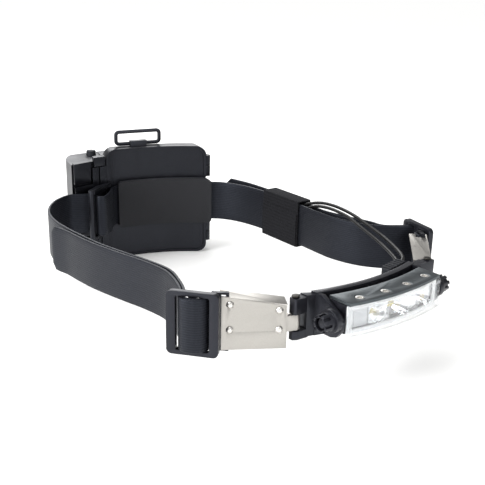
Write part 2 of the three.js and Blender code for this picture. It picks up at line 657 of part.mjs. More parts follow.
function makeWrap() {
  const along = new THREE.Vector3(WRAP.to[0] - WRAP.from[0], WRAP.to[1] - WRAP.from[1], 0);
  const length = along.length();
  along.normalize();
  const outward = new THREE.Vector3(-along.y, along.x, 0);
  const frame = levelFrame(WRAP.from[0], WRAP.from[1], along, outward);
  const outer = WRAP.halfInside + WRAP.cloth;
  const top = WRAP.halfHeight + WRAP.cloth;
  const body = panel(box2(0, length, -top, top), frame, -outer, outer);
  const hole = panel(box2(-1, length + 1, -WRAP.halfHeight, WRAP.halfHeight), frame, -WRAP.halfInside, WRAP.halfInside);
  return cut(body, hole);
}

addPart('cable_wrap', makeWrap(), 'loopFabric');

// ---------------------------------------------------------------- battery pack

function packReach(x0, x1, z0, z1, radius = 0) {
  return panel(box2(x0, x1, z0, z1, radius), WORLD, -60, 60);
}

const POCKET_HALF = 28.6;

function knuckle(z0, z1) {
  return rod([DOOR_HINGE.x, DOOR_HINGE.y, z0], [DOOR_HINGE.x, DOOR_HINGE.y, z1], 2.3, 20);
}

function hingeBore() {
  return rod([DOOR_HINGE.x, DOOR_HINGE.y, -34], [DOOR_HINGE.x, DOOR_HINGE.y, 34], HINGE_HOLE, 16);
}

// The rails hold the slot bar off the panel's left edge, above and below the strap.
function slotWing() {
  const rail = outline([
    [-37.5, -20.8], [-36.4, -22.8], [-33.9, -22.2], [-27, -14], [-19.5, -7], [-18, -0.5], [-20.6, -1.5],
    [-21.1, -6.2], [-30, -11.5],
  ]);
  const bar = rod([SLOT_BAR.x, SLOT_BAR.y, -16.4], [SLOT_BAR.x, SLOT_BAR.y, 16.4], SLOT_BAR.radius, 16);
  return join(slab(rail, WORLD, 13.9, 16.4), slab(rail, WORLD, -16.4, -13.9), bar);
}

function makePanel() {
  const shell = common(ring(PACK_AXIS, 99, PACK.skirt, -PACK.half, PACK.half),
    packReach(PACK.left, PACK.right, -PACK.half, PACK.half, 6));
  const recess = common(ring(PACK_AXIS, 97, PACK_RADIUS, -40, 40),
    packReach(PACK.left + 1.5, PACK.right - 1.5, -PACK.half + 1.5, PACK.half - 1.5, 5));
  const strapPath = common(ring(PACK_AXIS, 97, PACK_RADIUS, -16, 16), packReach(-60, 60, -16, 16));
  const pocket = common(ring(PACK_AXIS, 102.5, 112, -POCKET_HALF, POCKET_HALF),
    packReach(PACK.left - 5, 42, -POCKET_HALF, POCKET_HALF));
  const channels = [1, -1].map((side) => common(
    ring(PACK_AXIS, 103, 112, side > 0 ? 31.4 : -34.8, side > 0 ? 34.8 : -31.4),
    packReach(-17, 40, -36, 36)));
  const tabs = [[15, 21.9], [-22.9, -16]].map(([z0, z1]) => join(
    slab(box2(42.5, DOOR_HINGE.x, DOOR_HINGE.y - 2.2, DOOR_HINGE.y + 1.6), WORLD, z0, z1), knuckle(z0, z1)));
  const lug = slab(box2(RING.x - 5.5, RING.x + 5.5, RING.y - 2.4, RING.y + 1.6, 0.6), WORLD, 35.5, 39.8);
  const bore = rod([RING.x - 8, RING.y, RING.bottom + RING.bar / 2], [RING.x + 8, RING.y, RING.bottom + RING.bar / 2],
    RING.bar / 2 + GAP, 16);
  const body = cut(shell, recess, strapPath, pocket, ...channels);
  return cut(join(body, ...tabs, lug, slotWing()), bore, hingeBore());
}

// The electronics bay closes the pack's left end. Its raised ribs face the head, and its outer
// corner is rounded off by a wedge that stands this far clear of the walls at each shift.
function bayCorner(shift) {
  const bend = [[-32.5, 26], [-33.4, 23.2], [-38.2, 19.2], [-42.2, 13.6], [-44.6, 7], [-45.6, 0]];
  const wedge = [...bend.map(([x, y]) => [x + shift, y - shift]), [-60, 0], [-60, 40], [-32.5 + shift, 40]];
  return slab(outline(wedge), WORLD, -40, 40);
}

function makeBay() {
  const right = PACK.left - GAP;
  const shell = common(ring(PACK_AXIS, PACK_RADIUS, DOOR.outer, -DOOR.half, DOOR.half, 3),
    packReach(BAY_LEFT, right, -DOOR.half, DOOR.half));
  const roundedShell = cut(shell, bayCorner(0));
  const hollow = common(ring(PACK_AXIS, PACK_RADIUS + 2.4, DOOR.outer - 2, -POCKET_HALF, POCKET_HALF),
    packReach(BAY_LEFT + 2, right + 5, -POCKET_HALF, POCKET_HALF));
  const roundedHollow = cut(hollow, bayCorner(1.6));
  const ribs = [
    [-31.2, -26.9, 12.6, 27], [-26.1, -21.6, 12.6, 27], [-30, -22.4, 27.6, 33.4], [-44, -32.4, 18.4, 31.4],
    [-43.6, -31, 13, 16.6],
  ].flatMap(([x0, x1, z0, z1]) => [[x0, x1, z0, z1], [x0, x1, -z1, -z0]]);
  const raised = ribs.map(([x0, x1, z0, z1]) => common(
    ring(PACK_AXIS, PACK_RADIUS - 3, PACK_RADIUS + 1.2, z0, z1), packReach(x0, x1, z0, z1)));
  return { shell: roundedShell, hollow: roundedHollow, raised };
}

const BUTTON = { x: -26.5, y: 14, radius: 3, hole: 3.4, top: 33.4, stem: 24 };

// The latch lies on the bay's back wall in a frame of its own, turned about the pack's axis.
const LATCH = { angle: 13.6, thickness: 2, half: 9, reach: 9.4, radius: 129.7 };
const LATCH_TURN = THREE.MathUtils.degToRad(LATCH.angle);
const latchAlong = new THREE.Vector3(Math.cos(LATCH_TURN), Math.sin(LATCH_TURN), 0);
const latchOutward = new THREE.Vector3(-Math.sin(LATCH_TURN), Math.cos(LATCH_TURN), 0);
const latchFrame = levelFrame(
  LATCH.radius * latchOutward.x, LATCH.radius * latchOutward.y - PACK_RADIUS, latchAlong, latchOutward);

function latchPinRod(z0, z1, radius) {
  return rod([latchFrame.origin.x, latchFrame.origin.y, z0], [latchFrame.origin.x, latchFrame.origin.y, z1], radius, 16);
}

function makeLatchKnuckles() {
  return [[LATCH.half + 0.4, LATCH.half + 3], [-LATCH.half - 3, -LATCH.half - 0.4]].map(([z0, z1]) => join(
    latchPinRod(z0, z1, 1.9), slab(box2(-1.9, 1.9, -4, 0), latchFrame, z0, z1)));
}

function makeLatch() {
  const barrel = latchPinRod(-LATCH.half, LATCH.half, 1.9);
  const plate = slab(box2(0, LATCH.reach, -0.9, LATCH.thickness - 0.9), latchFrame, -LATCH.half, LATCH.half);
  const lip = slab(box2(LATCH.reach - 1.6, LATCH.reach, -0.9, 2.6, 0.6), latchFrame, -LATCH.half, LATCH.half);
  return cut(join(barrel, plate, lip), latchPinRod(-20, 20, HINGE_HOLE));
}

function makeDriverBay() {
  const { shell, hollow, raised } = makeBay();
  const buttonHole = rod([BUTTON.x, BUTTON.y, BUTTON.stem], [BUTTON.x, BUTTON.y, 40], BUTTON.hole, 24);
  const body = cut(join(cut(shell, hollow), ...raised, ...makeLatchKnuckles()), buttonHole);
  return cut(body, latchPinRod(-20, 20, HINGE_HOLE));
}

function makeButton() {
  const cap = rod([BUTTON.x, BUTTON.y, 28.2], [BUTTON.x, BUTTON.y, BUTTON.top], BUTTON.radius, 24);
  const foot = rod([BUTTON.x, BUTTON.y, 26.4], [BUTTON.x, BUTTON.y, 28.3], BUTTON.radius + 1.2, 24);
  return join(cap, foot);
}

function makeDoor() {
  const shell = common(ring(PACK_AXIS, DOOR.inner, DOOR.outer, -DOOR.half, DOOR.half, 3),
    packReach(PACK.left + 0.1, 43.5, -DOOR.half, DOOR.half));
  const hollow = common(ring(PACK_AXIS, DOOR.inner - 4, DOOR.outer - 2, -28.8, 28.8),
    packReach(PACK.left + 1.5, 42.1, -28.8, 28.8));
  const grips = [-12, -4, 4].map((z) => common(
    ring(PACK_AXIS, DOOR.outer - 0.5, DOOR.outer + 0.9, z, z + 3), packReach(-6, 30, z, z + 3)));
  const arms = [[22.3, 29], [-30, -23.3]].map(([z0, z1]) => join(
    knuckle(z0, z1),
    slab(outline([[41.8, 3], [41.8, 0.8], [44.4, -0.4], [44.7, -3], [48.6, -3.6], [44.2, 5]]), WORLD, z0, z1)));
  return cut(join(cut(shell, hollow), ...grips, ...arms), hingeBore());
}

function cellPlace(i) {
  const pitch = 2 * Math.asin(CELL.pitch / 2 / CELL.ring);
  const angle = THREE.MathUtils.degToRad(CELL.middleAngle) + (i - 1.5) * pitch;
  return { x: CELL.ring * Math.sin(angle), y: CELL.ring * Math.cos(angle) - PACK_RADIUS };
}

function makeCell(i) {
  const { x, y } = cellPlace(i);
  const half = CELL.length / 2;
  const up = i % 2 === 0 ? 1 : -1;
  const can = rod([x, y, -half * up], [x, y, (half - 1.2) * up], CELL.radius, 28);
  const nub = rod([x, y, (half - 1.4) * up], [x, y, half * up], 2.7, 16);
  return join(can, nub);
}

// The tray is held inside the door's swing: no corner lies further out from the hinge than the door's edge.
function makeTray() {
  const swing = rod([DOOR_HINGE.x, DOOR_HINGE.y, -40], [DOOR_HINGE.x, DOOR_HINGE.y, 40], 66.2, 96);
  const base = common(ring(PACK_AXIS, 102.9, 105.6, -28.2, 28.2), packReach(-18.6, 41.5, -28.2, 28.2));
  const ends = [[26.3, 27.1], [-27.1, -26.3]].map(([z0, z1]) => common(
    ring(PACK_AXIS, 105, 121, z0, z1), packReach(-17.6, 40.6, z0, z1)));
  const cradles = [0.5, 1.5, 2.5].map((i) => {
    const { x, y } = cellPlace(i);
    return slab(box2(x - 0.7, x + 0.7, y - 9.5, y - 5.4), WORLD, -22, 22);
  });
  return common(join(base, ...ends, ...cradles), swing);
}

function makeContactStrip(z0, z1) {
  return common(ring(PACK_AXIS, 107.5, 120.5, z0, z1), packReach(-15, 39.5, z0, z1));
}

function makeDoorGasket() {
  const band = common(ring(PACK_AXIS, 106.2, 108.1, -28.3, 28.3), packReach(-18.9, 41.7, -28.3, 28.3, 2));
  const middle = packReach(-17.9, 40.9, -27.4, 27.4);
  return cut(band, middle);
}

function makeStrapRing() {
  const bevel = 0.7;
  const { x, y, width, bottom, top, bar } = RING;
  const shape = box2(x - width / 2 + bevel, x + width / 2 - bevel, bottom + bevel, top - bevel, 2.4);
  const inner = box2(x - width / 2 + bar - bevel, x + width / 2 - bar + bevel, bottom + bar - bevel, top - bar + bevel, 1.6);
  shape.holes.push(new THREE.Path(inner.getPoints(4).reverse()));
  const geometry = new THREE.ExtrudeGeometry(shape, {
    depth: bar - 2 * bevel, bevelEnabled: true, bevelSize: bevel, bevelThickness: bevel, bevelSegments: 2, curveSegments: 4,
  });
  geometry.rotateX(Math.PI / 2);
  return toGeometry(solid(geometry.translate(0, y + bar / 2 - bevel, 0)));
}

addPart('pack_panel', makePanel(), 'blackPlastic', pack);
addPart('electronics_bay', makeDriverBay(), 'blackPlastic', pack);
addPart('battery_tray', makeTray(), 'blackPlastic', pack);
[0, 1, 2, 3].forEach((i) => addPart(`battery_cell_${i + 1}`, makeCell(i), 'cell', pack));
addPart('contact_strip_top', makeContactStrip(25.5, 26), 'brass', pack);
addPart('contact_strip_bottom', makeContactStrip(-26, -25.5), 'brass', pack);
addPart('driver_board', block(-42, -40.4, -5, 6, -22, 18), 'board', pack);
addPart('door_gasket', makeDoorGasket(), 'rubber', pack);
addPart('battery_door', makeDoor(), 'blackPlastic', pack);
addPart('door_pin_upper', rod([DOOR_HINGE.x, DOOR_HINGE.y, 15.2], [DOOR_HINGE.x, DOOR_HINGE.y, 28.8], 1.05, 14),
  'darkSteel', pack);
addPart('door_pin_lower', rod([DOOR_HINGE.x, DOOR_HINGE.y, -29.8], [DOOR_HINGE.x, DOOR_HINGE.y, -16.2], 1.05, 14),
  'darkSteel', pack);
addPart('door_latch', makeLatch(), 'satinBlack', pack);
addPart('latch_pin', latchPinRod(-LATCH.half - 2.8, LATCH.half + 2.8, HINGE_PIN_RADIUS), 'darkSteel', pack);
addPart('power_button', makeButton(), 'rubber', pack);
addPart('top_strap_ring', makeStrapRing(), 'satinBlack', pack);

// ---------------------------------------------------------------- leads

const GLAND = { x0: PACK.right + GAP, x1: 47.5, y: -4.2 };
addPart('lead_gland', slab(box2(GLAND.x0, GLAND.x1, GLAND.y - 2.7, GLAND.y + 2.4, 1), WORLD, -5, 5), 'rubber', pack);

const LEAD_UPPER = [
  [46.2, 102.4, 1.8], [50.8, 99.4, 2], [55, 90, 2.4], [57.8, 76, 3], [59.3, 62, 4], [59.4, 48, 6], [59, 34, 7.4],
  [58.4, 23, 10.4], [58.1, 14.5, 14.2], [59, 6, 16.4], [59.4, -3, 17], [58.6, -13, 16.8], [57.2, -22, 16.2],
  [55.8, -31, 14.8], [53, -46, 12.4], [46.5, -62, 11.2], [38.6, -75, 10.6], [31.6, -80.3, 10.4],
];
const LEAD_LOWER = [
  [46.2, 102.4, -1.8], [50.8, 99.4, -2], [55, 90, -1.7], [57.8, 76, -1], [59.3, 62, 0.4], [59.4, 48, 2.6],
  [59, 34, 5], [58, 23, 7.8], [57, 15, 11.4], [56.3, 7, 14.6], [56.1, -3, 15.9], [55.3, -13, 15.8], [54, -22, 15.2],
  [52.8, -31, 13], [50, -46, 10], [44, -61, 8.6], [37, -73.6, 7.8], [31.6, -80.3, 7.6],
];
addPart('lead_upper', cord(LEAD_UPPER, LEAD_DIAMETER), 'leadSheath');
addPart('lead_lower', cord(LEAD_LOWER, LEAD_DIAMETER), 'leadSheath');

export default group;
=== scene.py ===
"""A cap lamp on a webbing head strap, with its battery pack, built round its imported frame."""
import math

import bmesh
import bpy
from mathutils import Matrix, Vector


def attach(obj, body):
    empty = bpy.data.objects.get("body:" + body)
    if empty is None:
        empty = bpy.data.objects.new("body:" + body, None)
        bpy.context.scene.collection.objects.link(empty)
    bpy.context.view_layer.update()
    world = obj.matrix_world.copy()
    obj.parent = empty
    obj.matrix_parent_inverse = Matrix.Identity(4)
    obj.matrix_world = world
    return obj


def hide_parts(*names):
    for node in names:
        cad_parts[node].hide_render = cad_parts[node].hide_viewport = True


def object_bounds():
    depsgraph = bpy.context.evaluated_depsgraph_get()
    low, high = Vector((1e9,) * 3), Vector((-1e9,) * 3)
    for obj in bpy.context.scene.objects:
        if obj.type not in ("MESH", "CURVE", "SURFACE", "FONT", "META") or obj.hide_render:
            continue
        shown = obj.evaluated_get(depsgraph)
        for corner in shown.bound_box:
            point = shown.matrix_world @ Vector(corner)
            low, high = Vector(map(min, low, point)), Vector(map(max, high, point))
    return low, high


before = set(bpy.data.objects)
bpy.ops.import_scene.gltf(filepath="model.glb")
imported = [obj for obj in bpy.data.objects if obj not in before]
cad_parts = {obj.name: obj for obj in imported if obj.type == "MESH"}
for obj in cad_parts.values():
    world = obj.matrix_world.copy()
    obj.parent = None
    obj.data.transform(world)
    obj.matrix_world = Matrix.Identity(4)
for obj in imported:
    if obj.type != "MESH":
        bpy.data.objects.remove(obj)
cad_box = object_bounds()
MM = 0.001

# ---------------------------------------------------------------- the studio
# The lamp lies on a white table, as if laid down after use. A broad overhead cloth and three
# soft panels stand in for the white card tent that small goods are shown in.


def linear(sheet_colour):
    """A Blender colour from an sRGB hex value such as "3a3d42"."""
    parts = [int(sheet_colour[i:i + 2], 16) / 255 for i in (0, 2, 4)]
    bent = [part / 12.92 if part <= 0.04045 else ((part + 0.055) / 1.055) ** 2.4 for part in parts]
    return (*bent, 1.0)


def add(tree, kind, settings=None, sockets=None, links=None):
    """Add a node, set its properties and its input sockets, and link inputs to outputs."""
    node = tree.nodes.new(kind)
    for name, value in (settings or {}).items():
        setattr(node, name, value)
    for name, value in (sockets or {}).items():
        node.inputs[name].default_value = value
    for name, output in (links or {}).items():
        tree.links.new(output, node.inputs[name])
    return node


def start_material(name, colour, roughness, **sockets):
    """A material whose shader has its plain values set. Returns it with its tree and its shader."""
    made = bpy.data.materials.new(name)
    made.use_nodes = True
    tree = made.node_tree
    shader = tree.nodes["Principled BSDF"]
    shader.inputs["Base Color"].default_value = linear(colour)
    shader.inputs["Roughness"].default_value = roughness
    for socket, value in sockets.items():
        shader.inputs[socket.replace("_", " ")].default_value = value
    made.diffuse_color = linear(colour)
    return made, tree, shader


def place_camera(position, forward, right, up, lens):
    camera = bpy.data.objects.new("camera", bpy.data.cameras.new("camera"))
    bpy.context.scene.collection.objects.link(camera)
    turn = Matrix((right, up, -forward)).transposed()
    camera.matrix_world = Matrix.Translation(position) @ turn.to_4x4()
    camera.data.sensor_width = 36
    camera.data.lens = lens
    camera.data.clip_start = 0.01
    camera.data.clip_end = 20
    bpy.context.scene.camera = camera


place_camera(
    position=Vector((-274.9, -331.2, 152.2)) * MM,
    forward=Vector((0.5967, 0.7342, -0.3239)).normalized(),
    right=Vector((0.7802, -0.6253, 0.0198)).normalized(),
    up=Vector((0.188, 0.2645, 0.9459)).normalized(),
    lens=61.28,
)


def soft_panel(name, place, aim, width, height, watts):
    """A soft white studio light that faces a point."""
    light = bpy.data.lights.new(name, "AREA")
    light.shape = "RECTANGLE"
    light.size = width
    light.size_y = height
    light.energy = watts
    panel = bpy.data.objects.new(name, light)
    bpy.context.scene.collection.objects.link(panel)
    panel.location = place
    panel.rotation_euler = (Vector(aim) - Vector(place)).to_track_quat("-Z", "Y").to_euler()


soft_panel("left_light", place=(-0.75, 0.05, 0.3), aim=(-0.05, 0, 0),
           width=0.3, height=0.45, watts=6)
soft_panel("front_light", place=(-0.05, -0.8, 0.35), aim=(0, -0.05, 0),
           width=0.5, height=0.25, watts=3)
soft_panel("back_light", place=(0.35, 0.7, 0.4), aim=(0, 0.05, 0),
           width=0.6, height=0.4, watts=3)

overhead = bpy.data.lights.new("overhead_cloth", "SUN")
overhead.energy = 2.9
overhead.angle = math.radians(70)
overhead_lamp = bpy.data.objects.new("overhead_cloth", overhead)
bpy.context.scene.collection.objects.link(overhead_lamp)
overhead_lamp.rotation_euler = (math.radians(-14), math.radians(-16), 0)

room = bpy.data.worlds.new("white_room")
room.use_nodes = True
room.node_tree.nodes["Background"].inputs["Color"].default_value = linear("ffffff")
room.node_tree.nodes["Background"].inputs["Strength"].default_value = 0.3
bpy.context.scene.world = room
bpy.context.scene.view_settings.view_transform = "Standard"

TABLE_HALF = 4
CLEARANCE = 0.2 * MM
table_mesh = bmesh.new()
bmesh.ops.create_grid(table_mesh, x_segments=1, y_segments=1, size=TABLE_HALF)
bmesh.ops.translate(table_mesh, verts=table_mesh.verts, vec=(0, 0, cad_box[0].z - CLEARANCE))
table = bpy.data.objects.new("white_table", bpy.data.meshes.new("white_table"))
table_mesh.to_mesh(table.data)
table_mesh.free()
bpy.context.scene.collection.objects.link(table)
# Matt painted board: plain white, without a reflection.
painted_board = start_material("matt_white_board", "f4f4f3", 0.75)[0]
table.data.materials.append(painted_board)

# ---------------------------------------------------------------- the two leads
# Two thin leads, soft PVC jackets extruded over stranded copper, run from the pack's gland
# through the fabric wrap to the boot behind the lamp. Each is one length, moulded in at both ends.

LEAD_DIAMETER = 1.9 * MM
STEPS_PER_POINT = 6
LEAD_ROUTES = {
    "lead_upper": [
        (46.2, 102.4, 1.8), (50.8, 99.4, 2), (55, 90, 2.4), (57.8, 76, 3), (59.3, 62, 4),
        (59.4, 48, 6), (59, 34, 7.4), (58.4, 23, 10.4), (58.1, 14.5, 14.2), (59, 6, 16.4),
        (59.4, -3, 17), (58.6, -13, 16.8), (57.2, -22, 16.2), (55.8, -31, 14.8),
        (53, -46, 12.4), (46.5, -62, 11.2), (38.6, -75, 10.6), (31.6, -80.3, 10.4),
    ],
    "lead_lower": [
        (46.2, 102.4, -1.8), (50.8, 99.4, -2), (55, 90, -1.7), (57.8, 76, -1), (59.3, 62, 0.4),
        (59.4, 48, 2.6), (59, 34, 5), (58, 23, 7.8), (57, 15, 11.4), (56.3, 7, 14.6),
        (56.1, -3, 15.9), (55.3, -13, 15.8), (54, -22, 15.2), (52.8, -31, 13),
        (50, -46, 10), (44, -61, 8.6), (37, -73.6, 7.8), (31.6, -80.3, 7.6),
    ],
}


def smooth_run(points, steps):
    """Points along the smooth line through the given ones, spaced by the root of their distance."""
    points = [Vector(p) for p in points]
    before = points[0] * 2 - points[1]
    after = points[-1] * 2 - points[-2]
    padded_run = [before, *points, after]
    run = []
    for i in range(len(points) - 1):
        p0, p1, p2, p3 = padded_run[i:i + 4]
        t1 = (p1 - p0).length ** 0.5
        t2 = t1 + (p2 - p1).length ** 0.5
        t3 = t2 + (p3 - p2).length ** 0.5
        for step in range(steps + (i == len(points) - 2)):
            t = t1 + (t2 - t1) * step / steps
            a1 = p0 * (t1 - t) / t1 + p1 * t / t1
            a2 = p1 * (t2 - t) / (t2 - t1) + p2 * (t - t1) / (t2 - t1)
            a3 = p2 * (t3 - t) / (t3 - t2) + p3 * (t - t2) / (t3 - t2)
            b1 = a1 * (t2 - t) / t2 + a2 * t / t2
            b2 = a2 * (t3 - t) / (t3 - t1) + a3 * (t - t1) / (t3 - t1)
            run.append(b1 * (t2 - t) / (t2 - t1) + b2 * (t - t1) / (t2 - t1))
    return run


# Extruded PVC jacket: black, satin, with the faint lengthwise bumps of the strands beneath.
jacket, tree, shader = start_material("extruded_pvc_jacket", "09090a", 0.4, IOR=1.53,
                                      Specular_IOR_Level=0.35)
coords = add(tree, "ShaderNodeTexCoord")
handling = add(tree, "ShaderNodeTexNoise", sockets={"Scale": 1 / (3 * MM), "Detail": 3.0},
               links={"Vector": coords.outputs["Object"]})
gloss = add(tree, "ShaderNodeMapRange", sockets={"To Min": 0.34, "To Max": 0.52},
            links={"Value": handling.outputs["Fac"]})
tree.links.new(gloss.outputs["Result"], shader.inputs["Roughness"])
relief = add(tree, "ShaderNodeBump", sockets={"Strength": 0.35, "Distance": 0.1 * MM},
             links={"Height": handling.outputs["Fac"]})
tree.links.new(relief.outputs["Normal"], shader.inputs["Normal"])

for name, route in LEAD_ROUTES.items():
    curve = bpy.data.curves.new(f"{name}_jacket", "CURVE")
    curve.dimensions = "3D"
    spline = curve.splines.new("POLY")
    run = smooth_run([Vector(p) * MM for p in route], STEPS_PER_POINT)
    spline.points.add(len(run) - 1)
    for point, place in zip(spline.points, run):
        point.co = (*place, 1)
    curve.bevel_depth = LEAD_DIAMETER / 2
    curve.bevel_resolution = 3
    curve.use_fill_caps = True
    curve.materials.append(jacket)
    lead = bpy.data.objects.new(f"{name}_jacket", curve)
    bpy.context.scene.collection.objects.link(lead)
    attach(lead, "headband")
    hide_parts(name)

# ---------------------------------------------------------------- head strap
# One length of 25 mm nylon webbing, woven with heavy lengthwise ribs and pressed flat. It is
# threaded through both buckles, folds round their inner bars and ends in two loose tails.

STRAP_HEIGHT = 25.4
STRAP_THICKNESS = 1.4
PLATE_LENGTH = 29.5
PIN_PAST_PLATE = 4
PIN_BEHIND_FACE = 3.2
BUCKLE_END = (24.1, -1.7)
SIDES = {
    "left": {"sign": -1, "pin": (-41.4, -82.3), "plate": 32.5, "buckle": 51.5},
    "right": {"sign": 1, "pin": (46.1, -84.7), "plate": 45.6, "buckle": 75.6},
}


def directions(side, angle):
    """The way towards the lamp and the way out from the head, for a piece at one side."""
    turn = math.radians(angle)
    along = Vector((-side["sign"] * math.cos(turn), -math.sin(turn), 0))
    outward = Vector((side["sign"] * math.sin(turn), -math.cos(turn), 0))
    return along, outward


def plate_frame(side):
    along, outward = directions(side, side["plate"])
    corner = Vector((*side["pin"], 0)) - along * (PLATE_LENGTH + PIN_PAST_PLATE)
    return corner + outward * PIN_BEHIND_FACE, along, outward


def buckle_frame(side):
    along, outward = directions(side, side["buckle"])
    corner = plate_frame(side)[0]
    return corner - along * BUCKLE_END[0] - outward * BUCKLE_END[1], along, outward


PACK_ORIGIN = Vector((1.1, 118.8, 0))
PACK_TURN = Matrix.Rotation(math.radians(-15), 3, "Z")


def pack_point(x, y):
    """A point given in the battery pack's own directions, which are turned about Z."""
    return PACK_ORIGIN + PACK_TURN @ Vector((x, y, 0))


# The way through a buckle: in under its outer bar, over the middle bar, round the liner's bar
# and back out on top of itself.
THREAD = [
    (1.2, -15), (5.6, -6.3), (6.9, -1.2), (7.5, 0.9), (8.7, 2.8), (10.3, 3.25), (12, 3.35),
    (13.7, 3.25), (15, 2.6), (16.5, 0.5), (17.6, -1.8), (17.9, -4), (19.1, -5.4),
    (21.6, -5.45), (22.4, -5), (22.75, -4.2), (22.75, -2.6), (22.4, -1.75), (21.6, -1.35),
    (20, -1.3), (18.9, -0.7), (17.9, 1.5), (16.2, 3.8), (14, 4.95), (12, 5.05),
    (10, 4.95), (7.4, 4), (5.9, 1.5), (5.3, -0.8), (4, -5.7), (-0.2, -14),
]
LEFT_MAIN = [
    (-47.8, 118.4), (-57, 114.7), (-66, 106.5), (-74.5, 93), (-79, 77), (-80.2, 60),
    (-79.7, 42), (-78.8, 28), (-75.4, 8), (-71.7, -10.5), (-70.6, -25.5),
]
LEFT_TAIL = [
    (-72.9, -25.3), (-73.9, -10.4), (-77.7, 8.6), (-81.2, 29), (-82.3, 44), (-82.7, 56),
    (-85, 68.2),
]
RIGHT_MAIN = [(57.5, -27), (53.5, -11), (54, 6), (56, 30), (57, 57), (54, 77), (48.4, 89)]
RIGHT_TAIL = [
    (58.5, 97.5), (61.8, 78), (62.2, 57), (62, 36), (61, 20), (58.6, 6), (60.5, -10), (65, -28),
]
PACK_RADIUS = 100
PACK_STRAP_RADIUS = 98.6
PACK_STRAP_FROM = 26.5
PACK_STRAP_TO = -8.5
PACK_STRAP_STEPS = 8
PACK_BULGE = [
    (-18.4, -5.4), (-21, -11.6), (-24.6, -18.8), (-28.6, -23.6), (-31.6, -22.6),
    (-32.6, -18.6), (-35, -15.2), (-39.8, -14.2),
]


def threaded(side):
    corner, along, outward = buckle_frame(side)
    return [corner + along * s + outward * n for s, n in THREAD]


def level(points):
    return [Vector((x, y, 0)) for x, y in points]


behind_pack = []
for step in range(PACK_STRAP_STEPS + 1):
    share = step / PACK_STRAP_STEPS
    lean = math.radians(PACK_STRAP_FROM + (PACK_STRAP_TO - PACK_STRAP_FROM) * share)
    behind_pack.append(pack_point(PACK_STRAP_RADIUS * math.sin(lean),
                                  PACK_STRAP_RADIUS * math.cos(lean) - PACK_RADIUS))
strap_line = [
    *level(RIGHT_TAIL), *reversed(threaded(SIDES["right"])), *level(RIGHT_MAIN), *behind_pack,
    *[pack_point(x, y) for x, y in PACK_BULGE],
    *level(LEFT_MAIN), *threaded(SIDES["left"]), *level(LEFT_TAIL),
]
STRAP_STEPS_PER_POINT = 5
strap_run = smooth_run(strap_line, STRAP_STEPS_PER_POINT)
strap_reach = [0]
for near, far in zip(strap_run, strap_run[1:]):
    strap_reach.append(strap_reach[-1] + (far - near).length)


def round_edges(piece, width, segments, sharp):
    """Round a piece's edges that are sharper than an angle, by a width in mm."""
    edge = piece.modifiers.new("rounded_edges", "BEVEL")
    edge.width = width * MM
    edge.segments = segments
    edge.limit_method = "ANGLE"
    edge.angle_limit = math.radians(sharp)
    return edge


END_ROUNDING = 4
ROWS_OF_QUADS = 8
webbing_mesh = bmesh.new()
along_layer = webbing_mesh.verts.layers.float.new("along")
bottom_verts = []
for place, reach in zip(strap_run, strap_reach):
    vert = webbing_mesh.verts.new((place.x * MM, place.y * MM, -STRAP_HEIGHT / 2 * MM))
    vert[along_layer] = reach
    bottom_verts.append(vert)
edges = [webbing_mesh.edges.new(pair) for pair in zip(bottom_verts, bottom_verts[1:])]
for row in range(ROWS_OF_QUADS):
    grown = bmesh.ops.extrude_edge_only(webbing_mesh, edges=edges)["geom"]
    edges = [item for item in grown if isinstance(item, bmesh.types.BMEdge)
             and all(v in grown for v in item.verts)]
    top = [item for item in grown if isinstance(item, bmesh.types.BMVert)]
    bmesh.ops.translate(webbing_mesh, verts=top, vec=(0, 0, STRAP_HEIGHT / ROWS_OF_QUADS * MM))
    edges = [edge for edge in edges if abs(edge.verts[0].co.z - edge.verts[1].co.z) < 1e-7]
for vert in webbing_mesh.verts:
    # The cut ends are heat-sealed with their corners rounded off.
    from_end = max(0, min(vert[along_layer], strap_reach[-1] - vert[along_layer]))
    if from_end < END_ROUNDING:
        sink = END_ROUNDING - math.sqrt(END_ROUNDING ** 2 - (END_ROUNDING - from_end) ** 2)
        vert.co.z *= 1 - 2 * sink / STRAP_HEIGHT
uv_layer = webbing_mesh.loops.layers.uv.new("weave")
for face in webbing_mesh.faces:
    for loop in face.loops:
        loop[uv_layer].uv = (loop.vert[along_layer], loop.vert.co.z / MM)
webbing_mesh.normal_update()
strap_mesh = bpy.data.meshes.new("webbing_strap")
webbing_mesh.to_mesh(strap_mesh)
webbing_mesh.free()
strap = bpy.data.objects.new("webbing_strap", strap_mesh)
bpy.context.scene.collection.objects.link(strap)
thicken = strap.modifiers.new("thickness", "SOLIDIFY")
thicken.thickness = STRAP_THICKNESS * MM
thicken.offset = 0
round_edges(strap, 0.35, 2, 50)
for face in strap_mesh.polygons:
    face.use_smooth = True

# Woven nylon webbing, black: round lengthwise ribs with cross picks between them give fine
# parallel lines and a soft sheen; painted shade darkens the weave's hollows. The real ribs
# are 0.8 mm apart; they are drawn at 1.15 mm so that they show.
webbing, tree, shader = start_material(
    "woven_nylon_webbing", "1b1c20", 0.48, IOR=1.5, Specular_IOR_Level=0.36,
    Specular_Tint=linear("c3cce0"), Sheen_Weight=0.04, Sheen_Roughness=0.35,
    Sheen_Tint=linear("8f959e"))
RIB_PITCH = 1.15
PICK_PITCH = 1.3
weave_uv = add(tree, "ShaderNodeUVMap", {"uv_map": "weave"})
split = add(tree, "ShaderNodeSeparateXYZ", links={"Vector": weave_uv.outputs["UV"]})
rib_turn = add(tree, "ShaderNodeMath", {"operation": "MULTIPLY"}, {1: 2 * math.pi / RIB_PITCH},
               {0: split.outputs["Y"]})
rib_wave = add(tree, "ShaderNodeMath", {"operation": "SINE"}, links={0: rib_turn.outputs[0]})
